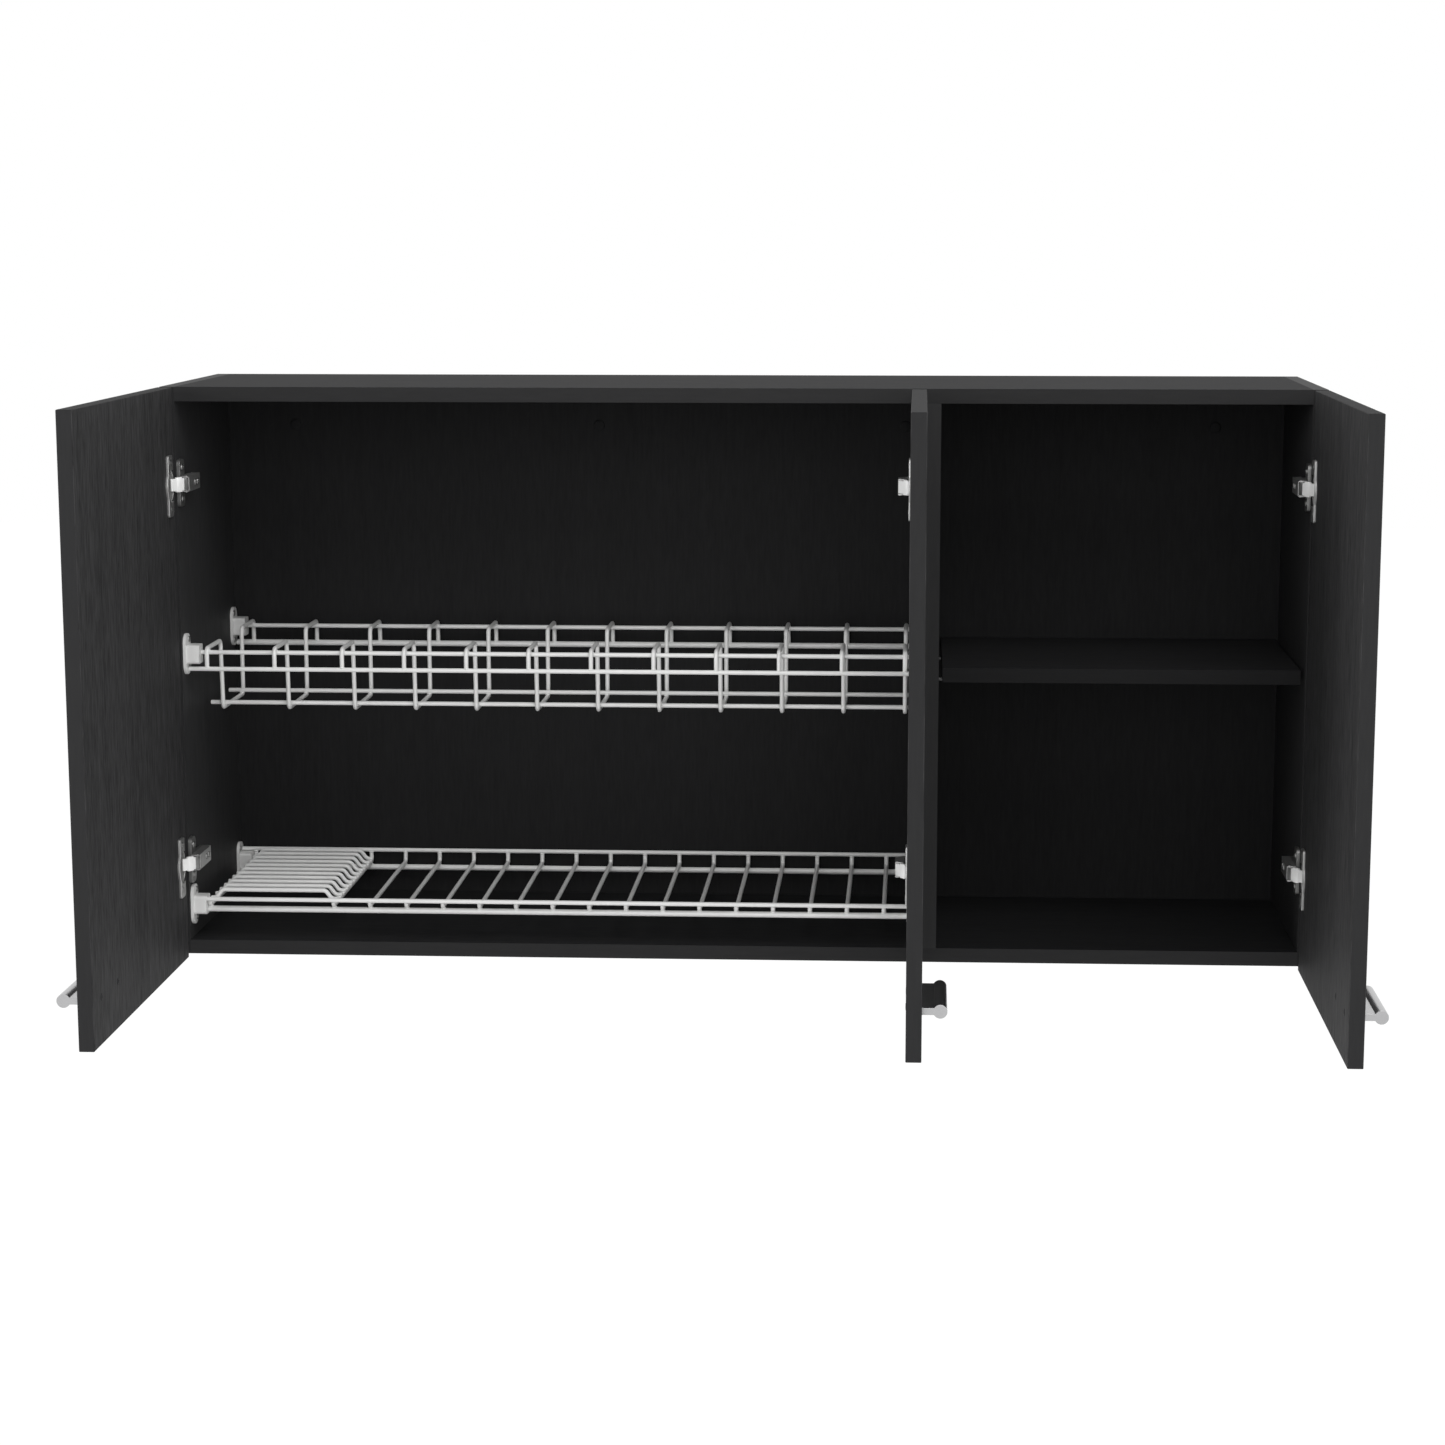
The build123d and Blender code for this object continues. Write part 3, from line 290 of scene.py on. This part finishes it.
# The finish of a carried-over piece, by the first of these words in its name
FINISHES = (
    ("_door", door_board), ("side_panel", side_board_lit_shaded), ("centre_divider", upright_board),
    ("shelf_pins", pin_steel), ("shelf", shelf_board_shaded_edge), ("back_panel", back_board), ("dowels", beech),
    ("brackets", white_plastic), ("_rack_", wire_coat), ("saucer_comb", wire_coat),
    ("_panel", level_board), ("_rail", level_board),
    ("handle_screws", screw_black), ("_handle", handle_metal),
    ("screws", screw_steel), ("pins", screw_steel),
    ("links", link_painted_highlight), ("hinge_plates", plate_steel), ("hinge", hinge_steel),
)
for name, part in parts.items():
    part.data.materials.clear()
    part.data.materials.append(next(finish for words, finish in FINISHES if words in name))


# --- Meshes and pieces ---

# Corners nearer than this, in metres, are one
MERGE_DISTANCE = 1e-6


def mesh_of(name, points, faces):
    """A mesh of points and faces."""
    mesh = bpy.data.meshes.new(name)
    mesh.from_pydata(points, [], faces)
    return mesh


def new_object(name, data):
    """An object in the scene, made of a mesh, lamp or camera."""
    item = bpy.data.objects.new(name, data)
    bpy.context.scene.collection.objects.link(item)
    return item


def new_piece(name, points, faces, finish, smooth=True):
    """A mesh object of the scene with one finish."""
    mesh = mesh_of(name, points, faces)
    mesh.polygons.foreach_set("use_smooth", [smooth] * len(mesh.polygons))
    mesh.materials.append(finish)
    mesh.update()
    return new_object(name, mesh)


def shade_by_angle(piece, angle):
    """Smooth a piece's shading, but not over edges sharper than an angle."""
    piece.data.set_sharp_from_angle(angle=angle)


def join_rings(base, rings, sides, faces):
    """Add the faces between counterclockwise rings of points, counted from a base, and the two ends."""
    for ring in range(rings - 1):
        low, high = base + ring * sides, base + (ring + 1) * sides
        for i in range(sides):
            j = (i + 1) % sides
            faces.append((low + i, low + j, high + j, high + i))
    faces.append(tuple(base + i for i in reversed(range(sides))))
    faces.append(tuple(base + (rings - 1) * sides + i for i in range(sides)))


def rounded_rectangle(half_x, half_y, corner, steps):
    """The points of a rectangle with round corners, counterclockwise, with so many steps to a corner."""
    ring = []
    for quarter, (side_x, side_y) in enumerate(((1, 1), (-1, 1), (-1, -1), (1, -1))):
        for step in range(steps + 1):
            angle = math.pi / 2 * (quarter + step / steps)
            x = side_x * (half_x - corner) + corner * math.cos(angle)
            y = side_y * (half_y - corner) + corner * math.sin(angle)
            ring.append((x, y))
    return ring


def lathe(outline, sides=32):
    """A mesh of an outline of radius and height turned about the local Z axis."""
    shape = bmesh.new()
    rings = []
    for radius, height in outline:
        if radius == 0:
            rings.append([shape.verts.new((0, 0, height))])
            continue
        angles = [2 * math.pi * i / sides for i in range(sides)]
        rings.append([shape.verts.new((radius * math.cos(a), radius * math.sin(a), height)) for a in angles])
    for low, high in zip(rings, rings[1:]):
        for i in range(sides):
            j = (i + 1) % sides
            corners = [low[i % len(low)], low[j % len(low)], high[j % len(high)], high[i % len(high)]]
            shape.faces.new(list(dict.fromkeys(corners)))
    bmesh.ops.recalc_face_normals(shape, faces=shape.faces)
    mesh = bpy.data.meshes.new("turned")
    shape.to_mesh(mesh)
    shape.free()
    return mesh


def carved(mesh, changes):
    """A mesh after others have been joined to it or cut from it, each given with its operation."""
    body = new_object("body", mesh)
    others = []
    for operation, other_mesh in changes:
        other = new_object("other", other_mesh)
        change = body.modifiers.new(operation.lower(), "BOOLEAN")
        change.operation, change.object, change.solver = operation, other, "EXACT"
        others.append(other)
    bpy.context.view_layer.update()
    result = bpy.data.meshes.new_from_object(body.evaluated_get(bpy.context.evaluated_depsgraph_get()))
    for item in (body, *others):
        bpy.data.objects.remove(item)
    return result


def solids_of(part):
    """The corners of each separate solid in a part's mesh, in the mesh's own order."""
    shape = bmesh.new()
    shape.from_mesh(part.data)
    bmesh.ops.remove_doubles(shape, verts=shape.verts, dist=MERGE_DISTANCE)
    left = set(shape.verts)
    groups = []
    for start in shape.verts:
        if start not in left:
            continue
        left.remove(start)
        group, front = [], [start]
        while front:
            vert = front.pop()
            group.append(vert.co.copy())
            for edge in vert.link_edges:
                other = edge.other_vert(vert)
                if other in left:
                    left.remove(other)
                    front.append(other)
        groups.append(group)
    shape.free()
    return groups


# --- Round-bent wires, in place of the mitred ones ---

# The most of a leg that a bend takes, and the steps of a bend and of a domed end in radians
LEG_SHARE = 0.48
ARC_STEP = 0.22
DOME_TURNS = (0.15, 0.5, 0.85, 1.2)


def round_bent(corners, radius):
    """A path in metres through corners in millimetres, each corner turned into an arc."""
    corners = [Vector(corner) * MM for corner in corners]
    path = [corners[0]]
    for before, corner, after in zip(corners, corners[1:], corners[2:]):
        back, ahead = before - corner, after - corner
        half = back.angle(ahead) / 2
        reach = min(radius * MM / math.tan(half), LEG_SHARE * back.length, LEG_SHARE * ahead.length)
        back, ahead = back.normalized(), ahead.normalized()
        centre = corner + (back + ahead).normalized() * (reach / math.cos(half))
        start, end = corner + back * reach - centre, corner + ahead * reach - centre
        steps = max(3, math.ceil((math.pi - 2 * half) / ARC_STEP))
        path += [centre + start.slerp(end, i / steps) * start.length for i in range(steps + 1)]
    path.append(corners[-1])
    return path


def tube(path, radius, side, points, faces, sides=14, dome=0.6):
    """Add a round wire with domed ends along a path that is square to the side vector."""
    radius *= MM
    side = Vector(side)
    first, last = (path[1] - path[0]).normalized(), (path[-1] - path[-2]).normalized()
    domed = [(dome * radius * (1 - math.cos(turn)), radius * math.sin(turn)) for turn in DOME_TURNS]
    domed.append((dome * radius, radius))
    rings = [(path[0] + first * inward, first, size) for inward, size in domed]
    for before, here, after in zip(path, path[1:], path[2:]):
        ahead = ((after - here).normalized() + (here - before).normalized()).normalized()
        rings.append((here, ahead, radius))
    rings += [(path[-1] - last * inward, last, size) for inward, size in reversed(domed)]
    base = len(points)
    for centre, ahead, size in rings:
        across = ahead.cross(side).normalized()
        for i in range(sides):
            angle = 2 * math.pi * i / sides
            points.append(centre + (side * math.cos(angle) + across * math.sin(angle)) * size)
    join_rings(base, len(rings), sides, faces)


def bead(centre, points, faces, rings=6, sides=12):
    """Add a flattened drop of weld at a crossing."""
    base = len(points)
    centre = Vector(centre) * MM
    for ring in reversed(range(1, rings)):
        tilt = math.pi * ring / rings
        for i in range(sides):
            angle = 2 * math.pi * i / sides
            x, y = math.sin(tilt) * math.cos(angle), math.sin(tilt) * math.sin(angle)
            points.append(centre + MM * Vector((x, y, math.cos(tilt))) * WELD_SIZE)
    join_rings(base, rings - 1, sides, faces)


# The racks' sizes as in the part's source, in millimetres: outlines and welds of the wires across each
# rack, and rails with their two places, radius and inset
WIRE_RADIUS = 2.35
WIRE_TURN = 6.0
WELD_SIZE = Vector((2.9, 2.9, 1.5))
RACK_LEFT, RACK_RIGHT = -585.0, 192.5
RAIL_STEPS = 8
PLATE_WIRE_PATH = (
    (-268, -238.7), (-268, -219.5), (-201, -219.5), (-195, -292.9),
    (-91, -292.9), (-91, -219.5), (-25, -219.5), (-25, -240.9),
)
PLATE_RAILS = (
    (-261.6, -224.2, 2.35, 3), (-31.4, -224.2, 2.35, 3), (-268, -241.05, 2.35, 3),
    (-25, -244.1, 3.2, 3), (-188.6, -288.2, 2.35, 8), (-97.4, -288.2, 2.35, 8),
)
PLATE_WELDS = (
    (-261.6, -221.85), (-31.4, -221.85), (-268, -238.9), (-25, -241.1), (-188.6, -290.55), (-97.4, -290.55),
)
PLATE_START, PLATE_PITCH, PLATE_BAYS = -562.0, 65.7, 11
WIDE_BAYS, WIDE_SHARE = 2, 1.09
PLATE_COLUMNS = [PLATE_START]
for bay in range(PLATE_BAYS):
    PLATE_COLUMNS.append(PLATE_COLUMNS[-1] + PLATE_PITCH * (WIDE_SHARE if bay < WIDE_BAYS else 1))
CUP_WIRE_PATH = ((-268, -487.7), (-268, -494.6), (-25, -494.6), (-25, -483.75))
CUP_RAILS = (
    (-263, -500.15, 3.2, 3), (-30, -500.15, 3.2, 3), (-272.7, -487.7, 2.35, 3), (-25, -481.4, 2.35, 3),
)
CUP_WELDS = ((-263, -496.95), (-30, -496.95), (-25, -483.75))
SIDE_WIRE, CUP_START, CUP_PITCH, CUP_WIRES = -566.0, -433.5, 39.05, 16
CUP_COLUMNS = [SIDE_WIRE] + [CUP_START + CUP_PITCH * i for i in range(CUP_WIRES)]
COMB_PATH = (
    (-568.35, -489.9), (-562, -489.9), (-555.5, -480.9), (-444, -480.9), (-437.5, -489.9), (-429.65, -489.9),
)
COMB_WELDS = ((-566, -492.25), (-433.5, -492.25))
COMB_START, COMB_PITCH, COMB_WIRES = -255, 22, 11
COMB_ROWS = [COMB_START + COMB_PITCH * i for i in range(COMB_WIRES)]


def wire_set(name, node, axis, places, outline, welds):
    """The equal wires of a rack, each across an axis at one of the places along it, with their welds."""
    def at(along, across, up):
        return (along, across, up) if axis == "X" else (across, along, up)

    points, faces = [], []
    for place in places:
        path = round_bent([at(place, across, up) for across, up in outline], WIRE_TURN)
        tube(path, WIRE_RADIUS, at(1, 0, 0), points, faces)
        for across, up in welds:
            bead(at(place, across, up), points, faces)
    piece = new_piece(name, points, faces, wire_coat)
    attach(piece, "carcass")
    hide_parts(node)


def rail_set(name, node, rails):
    """The long rails of a rack."""
    points, faces = [], []
    for y, z, radius, inset in rails:
        start, end = RACK_LEFT + inset, RACK_RIGHT - inset
        path = [Vector((start + (end - start) * i / RAIL_STEPS, y, z)) * MM for i in range(RAIL_STEPS + 1)]
        tube(path, radius, (0, 0, 1), points, faces, sides=18, dome=0.5)
    piece = new_piece(name, points, faces, wire_coat)
    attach(piece, "carcass")
    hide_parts(node)


wire_set("plate_wires_bent", "plate_rack_wires", "X", PLATE_COLUMNS, PLATE_WIRE_PATH, PLATE_WELDS)
wire_set("cup_wires_bent", "cup_rack_wires", "X", CUP_COLUMNS, CUP_WIRE_PATH, CUP_WELDS)
rail_set("plate_rails_round", "plate_rack_rails", PLATE_RAILS)
rail_set("cup_rails_round", "cup_rack_rails", CUP_RAILS)
wire_set("comb_wires_bent", "saucer_comb", "Y", COMB_ROWS, COMB_PATH, COMB_WELDS)


# --- Screws with cross recesses, in place of the plain studs ---

# A cross recess: its reach at the floor and above the head, how far it goes above, its width and taper
RECESS_FLOOR, RECESS_MOUTH = 0.34, 0.62
RECESS_ABOVE = 0.3
RECESS_WIDTH, RECESS_TAPER = 0.13, 0.6
# A screw: its tip and the tip's length as shares of the stem, the rest as shares of the head
TIP_SHARE, TIP_LENGTH = 0.3, 2
HEAD_DOME = ((1, 0.3), (0.97, 0.52), (0.88, 0.74), (0.72, 0.9), (0.45, 0.98), (0.2, 1), (0, 1))
DOME_RECESS = 0.75
SUNK_NECK, SUNK_RIM, SUNK_RECESS = 0.8, 0.08, 0.5
# How far out a stud's rim starts and its stem at least lies, as shares of its radius
RIM_SHARE, STEM_SHARE = 0.95, 0.2
# How far each screw is turned, in radians
FIRST_TURN, NEXT_TURN = 0.4, 1.9


def cross_recess(mesh, radius, top, depth):
    """A turned head with a tapered cross cut into its top."""
    cutters = []
    for turned in (False, True):
        points, faces = [], []
        for share, height in ((RECESS_FLOOR, top - depth), (RECESS_MOUTH, top + RECESS_ABOVE * depth)):
            reach, width = radius * share, radius * RECESS_WIDTH * (RECESS_TAPER + share)
            ring = ((reach, width), (-reach, width), (-reach, -width), (reach, -width))
            points += [(-y, x, height) if turned else (x, y, height) for x, y in ring]
        join_rings(0, 2, 4, faces)
        cutters.append(("DIFFERENCE", mesh_of("cutter", points, faces)))
    return carved(mesh, cutters)


def screw_mesh(radius, height, stem, length, countersunk):
    """A screw in metres along local Z, its seat at 0, with a recess in its head."""
    outline = [(0, -length), (TIP_SHARE * stem, -length), (stem, TIP_LENGTH * stem - length)]
    if countersunk:
        outline += [(stem, -SUNK_NECK * height), (radius, -SUNK_RIM * height), (radius, 0), (0, 0)]
        return cross_recess(lathe(outline), radius, 0, SUNK_RECESS * height)
    outline += [(stem, 0), (radius, 0)] + [(radius * r, height * h) for r, h in HEAD_DOME]
    return cross_recess(lathe(outline), radius, height, DOME_RECESS * height)


def dress_screws(node, finish, rise=1.0, countersunk=False):
    """Replace the studs of a screw node, which all lie along X, by screws with recessed heads."""
    points, faces = [], []
    unit = None
    for index, corners in enumerate(solids_of(parts[node])):
        low, high = ([pick(corner[i] for corner in corners) for i in range(3)] for pick in (min, max))
        y, z = (low[1] + high[1]) / 2, (low[2] + high[2]) / 2
        radius = (high[1] - low[1]) / 2
        offsets = [math.hypot(corner.y - y, corner.z - z) for corner in corners]
        rim = [corner.x for corner, offset in zip(corners, offsets) if offset > RIM_SHARE * radius]
        outward = 1 if min(rim) + max(rim) > low[0] + high[0] else -1
        seat = max(rim) if (outward > 0) == countersunk else min(rim)
        if unit is None:
            stem = min(offset for offset in offsets if offset > STEM_SHARE * radius)
            height = max(rim) - min(rim)
            length = high[0] - low[0] - (0 if countersunk else height)
            unit = screw_mesh(radius, height * rise, stem, length, countersunk)
        turn = FIRST_TURN + NEXT_TURN * index
        base = len(points)
        for vertex in unit.vertices:
            across = vertex.co.x * math.cos(turn) - vertex.co.y * math.sin(turn)
            up = vertex.co.x * math.sin(turn) + vertex.co.y * math.cos(turn)
            points.append((seat + outward * vertex.co.z, y + across, z + outward * up))
        faces += [tuple(base + i for i in polygon.vertices) for polygon in unit.polygons]
    piece = new_piece(f"{node}_crossed", points, faces, finish, smooth=False)
    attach(piece, body_of(parts[node])[0])
    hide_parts(node)


for side in SIDES:
    for kind, finish, rise in (
        ("cup", screw_steel, 0.35), ("plate", screw_steel, 1.0), ("arm", screw_steel, 1.0),
        ("handle", screw_black, 0.35),
    ):
        dress_screws(f"{side}_{kind}_screws", finish, rise)
dress_screws("bracket_screws", screw_steel)
dress_screws("assembly_screws", screw_steel, countersunk=True)


# --- Hinge cups with pressed flange plates, in place of the plain ones ---

# Flange plate in millimetres, from the cup's axis and the door's face
FLANGE_SIZE, FLANGE_THICKNESS, FLANGE_OFFSET = (19.0, 63.0), 2.5, 4.1
FLANGE_CORNER, FLANGE_BREAK, BREAK_STEP = 3.0, 0.5, 0.3
CORNER_STEPS = 5
# Its round front, kept just inside the plate's two faces
FRONT_RADIUS, FRONT_BREAK, FRONT_ANGLE = 18.6, 0.4, 75
FRONT_LOW, FRONT_EDGE, FRONT_TOP = 0.02, 0.45, 0.02
FRONT_STEPS = 24
MOUTH_RADIUS, MOUTH_SIDES = 16.9, 64
DRILL_LOW, DRILL_HIGH = -1, 4
CUP_OUTLINE = (
    (0, -11.4), (15.2, -11.4), (16.5, -10.6), (16.9, -9.4), (16.9, -0.3), (17.1, 0.12), (17.5, 0.2),
    (17.9, 0.12), (17.9, 0), (17.5, 0), (17.5, -10.4), (16.4, -11.8), (15.0, -12.0), (0, -12.0),
)
CUP_SIDES = 48
CUP_SHARP = 0.25


def flange_slab():
    """The flange plate with round corners and broken upper edges."""
    points, faces = [], []
    step = BREAK_STEP * FLANGE_BREAK
    levels = (
        (0, 0), (0, FLANGE_THICKNESS - FLANGE_BREAK),
        (step, FLANGE_THICKNESS - step), (FLANGE_BREAK, FLANGE_THICKNESS),
    )
    half_x, half_y = FLANGE_SIZE[0] / 2, FLANGE_SIZE[1] / 2
    for inset, height in levels:
        ring = rounded_rectangle(half_x - inset, half_y - inset, FLANGE_CORNER - inset, CORNER_STEPS)
        points += [(x + FLANGE_OFFSET, y, height) for x, y in ring]
    join_rings(0, len(levels), 4 * (CORNER_STEPS + 1), faces)
    return mesh_of("slab", points, faces)


def flange_front():
    """The part of the flange plate that goes round the front of the cup."""
    points, faces = [], []
    levels = (
        (FRONT_RADIUS, FRONT_LOW), (FRONT_RADIUS, FLANGE_THICKNESS - FRONT_EDGE),
        (FRONT_RADIUS - FRONT_BREAK, FLANGE_THICKNESS - FRONT_TOP),
    )
    for radius, height in levels:
        for i in range(FRONT_STEPS + 1):
            angle = math.radians(FRONT_ANGLE * (2 * i / FRONT_STEPS - 1))
            points.append((radius * math.cos(angle), radius * math.sin(angle), height))
    join_rings(0, len(levels), FRONT_STEPS + 1, faces)
    return mesh_of("front", points, faces)


mouth = [(0, DRILL_LOW), (MOUTH_RADIUS, DRILL_LOW), (MOUTH_RADIUS, DRILL_HIGH), (0, DRILL_HIGH)]
flange = carved(flange_slab(), (("UNION", flange_front()), ("DIFFERENCE", lathe(mouth, MOUTH_SIDES))))
cup = lathe(CUP_OUTLINE, CUP_SIDES)
for side in SIDES:
    node = f"{side}_hinge_cups"
    outward = 1 if side == "left" else -1
    points, faces = [], []
    for corners in solids_of(parts[node]):
        xs, ys, zs = ([corner[i] for corner in corners] for i in range(3))
        face = (max(xs) if outward > 0 else min(xs)) - outward * FLANGE_THICKNESS * MM
        y, z = min(ys) + FRONT_RADIUS * MM, (min(zs) + max(zs)) / 2
        for mesh in (flange, cup):
            base = len(points)
            for vertex in mesh.vertices:
                forward, up, out = vertex.co * MM
                points.append((face + outward * out, y - forward, z + outward * up))
            faces += [tuple(base + i for i in reversed(polygon.vertices)) for polygon in mesh.polygons]
    piece = new_piece(f"{side}_cups_pressed", points, faces, hinge_steel)
    shade_by_angle(piece, CUP_SHARP)
    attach(piece, f"{side}_door")
    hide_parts(node)


# --- Hinge links that are wider between the arm's cheeks and the cup, in place of the plain bars ---

# Millimetres, along the link from its pin, with its half thickness and half widths
LINK_LENGTH, LINK_EYE, LINK_TIP = 20.2, 2.2, 1.3
LINK_NARROW, LINK_WIDE = 6.4, 7.7
LINK_SHOULDERS = (7.1, 7.5, 14.3, 14.8)
EYE_TURNS, TIP_TURNS = (0.15, 0.5, 0.9, 1.3), (0.4, 0.8, 1.2, 1.45)
LINK_CORNER, LINK_CORNER_SHARE, LINK_CORNER_STEPS = 0.5, 0.8, 3
LINK_SHARP = 0.6
# Up to here the links of the side doors are kept out of the painted highlight and take the hinges' steel
UNHIGHLIT_END = 4.7
# How much nearer than the farthest corner a corner of the link's tip may be
TIP_REACH = 0.05


def link_stations():
    """Stations along a link from its pin, each with its half thickness and half width."""
    stations = [(-LINK_EYE * math.cos(turn), LINK_EYE * math.sin(turn), LINK_NARROW) for turn in EYE_TURNS]
    widths = (LINK_NARROW, LINK_NARROW, LINK_NARROW, LINK_WIDE, LINK_WIDE, LINK_NARROW, LINK_NARROW)
    for along, width in zip((0, UNHIGHLIT_END, *LINK_SHOULDERS, LINK_LENGTH), widths):
        stations.append((along, LINK_EYE + (LINK_TIP - LINK_EYE) * along / LINK_LENGTH, width))
    for turn in TIP_TURNS:
        stations.append((LINK_LENGTH + LINK_TIP * math.sin(turn), LINK_TIP * math.cos(turn), LINK_NARROW))
    return stations


def add_link(pin, ahead, level, points, faces):
    """Add a link from its pin in the direction ahead, at a height in metres."""
    across = Vector((-ahead.y, ahead.x, 0))
    base = len(points)
    stations = link_stations()
    for along, thick, wide in stations:
        corner = min(LINK_CORNER, LINK_CORNER_SHARE * thick)
        for a, b in rounded_rectangle(thick, wide, corner, LINK_CORNER_STEPS):
            points.append(pin + ahead * (along * MM) + across * (a * MM) + Vector((0, 0, level + b * MM)))
    join_rings(base, len(stations), 4 * (LINK_CORNER_STEPS + 1), faces)


pivots = {joint["name"]: joint["pos_m"] for joint in frame["record"]["behaviour"]["joints"]}
for side in SIDES:
    node = f"{side}_hinge_links"
    x, y, _ = pivots[f"{side}_link_pivot"]
    pin = Vector((x, y, 0))
    points, faces = [], []
    for corners in solids_of(parts[node]):
        reaches = [math.hypot(corner.x - x, corner.y - y) for corner in corners]
        tips = [
            Vector((corner.x, corner.y, 0)) for corner, reach in zip(corners, reaches)
            if reach > max(reaches) - TIP_REACH * MM
        ]
        ahead = (sum(tips, Vector()) / len(tips) - pin).normalized()
        heights = [corner.z for corner in corners]
        add_link(pin, ahead, (min(heights) + max(heights)) / 2, points, faces)
    piece = new_piece(f"{side}_links_shouldered", points, faces, link_painted_highlight)
    # The side doors' eye ends take the hinges' steel, outside the links' painted highlight
    piece.data.materials.append(hinge_steel)
    if side != "middle":
        for polygon in piece.data.polygons:
            farthest = max((points[i] - pin).xy.length for i in polygon.vertices)
            polygon.material_index = int(farthest < math.hypot(UNHIGHLIT_END, LINK_EYE) * MM)
    shade_by_angle(piece, LINK_SHARP)
    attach(piece, f"{side}_links")
    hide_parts(node)


# --- Low caps over the wall screws, on the inner face of the back ---

CAP_OUTLINE = ((0, 0), (6.2, 0), (6.2, 0.25), (5.8, 0.5), (4.8, 0.7), (3.0, 0.85), (0, 0.9))
WALL_SCREWS = (-0.51, -0.17, 0.17, 0.51)
BACK_FACE = -0.018

cap = lathe([(radius * MM, height * MM) for radius, height in CAP_OUTLINE])
points, faces = [], []
for x in WALL_SCREWS:
    base = len(points)
    points += [(x + vertex.co.x, BACK_FACE - vertex.co.z, vertex.co.y) for vertex in cap.vertices]
    faces += [tuple(base + i for i in polygon.vertices) for polygon in cap.polygons]
# The caps take the back's colour, with its painted shade
caps = new_piece("wall_screw_caps", points, faces, back_board)
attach(caps, "carcass")


# --- Floor, world, lamps and camera ---

half = FLOOR_SIZE / 2
level = cad_box[0][2] - FLOOR_DROP
corners = [(-half, -half, level), (half, -half, level), (half, half, level), (-half, half, level)]
floor = new_object("floor", mesh_of("floor", corners, [(0, 1, 2, 3)]))

# The floor: white where the camera or a polished surface looks, but with the cabinet's shadow
material, shader, add, _ = new_material("pale_floor")
shader.inputs["Base Color"].default_value = (*FLOOR_COLOUR, 1)
shader.inputs["Roughness"].default_value = FLOOR_ROUGHNESS
paths = add("ShaderNodeLightPath").outputs
seen = larger(add, paths["Is Camera Ray"], paths["Is Glossy Ray"])
share = add("ShaderNodeMath", {0: seen, 1: FLOOR_WHITE_SHARE}, operation="MULTIPLY")
white = add("ShaderNodeEmission", {"Color": (1, 1, 1, 1), "Strength": FLOOR_WHITE})
mixed = add("ShaderNodeMixShader", {"Fac": share.outputs[0], 1: shader.outputs[0], 2: white.outputs[0]})
out = next(node for node in material.node_tree.nodes if node.type == "OUTPUT_MATERIAL")
material.node_tree.links.new(mixed.outputs[0], out.inputs["Surface"])
floor.data.materials.append(material)

# The world: white where the camera or a polished surface looks, softer as light
world = bpy.data.worlds.new("studio")
bpy.context.scene.world = world
world.use_nodes = True
add = node_maker(world.node_tree)
paths = add("ShaderNodeLightPath").outputs
seen = larger(add, larger(add, paths["Is Camera Ray"], paths["Is Transmission Ray"]), paths["Is Glossy Ray"])
strength = add("ShaderNodeMapRange", {"Value": seen, "To Min": AMBIENT, "To Max": BACKDROP_WHITE})
background = next(node for node in world.node_tree.nodes if node.type == "BACKGROUND")
background.inputs["Color"].default_value = (1, 1, 1, 1)
world.node_tree.links.new(strength.outputs["Result"], background.inputs["Strength"])

for name, place, target, size, power in LAMPS:
    data = bpy.data.lights.new(name, "AREA")
    data.shape = "RECTANGLE"
    data.size, data.size_y = size
    data.energy = power
    lamp = new_object(name, data)
    lamp.location = place
    lamp.rotation_mode = "QUATERNION"
    lamp.rotation_quaternion = (Vector(target) - Vector(place)).to_track_quat("-Z", "Y")

camera_data = bpy.data.cameras.new("camera")
camera = new_object("camera", camera_data)
bpy.context.scene.camera = camera
camera.location = CAMERA_PLACE
camera.rotation_euler = (math.pi / 2 - CAMERA_PITCH, 0, CAMERA_YAW)
camera_data.sensor_width = SENSOR
camera_data.lens = FOCAL_PIXELS / IMAGE_SIZE * SENSOR
camera_data.shift_x = 0.5 - CENTRE_COLUMN / IMAGE_SIZE
camera_data.shift_y = CENTRE_ROW / IMAGE_SIZE - 0.5
camera_data.clip_start = CLIP_START
camera_data.clip_end = CLIP_END

bpy.context.scene.view_settings.view_transform = "Standard"
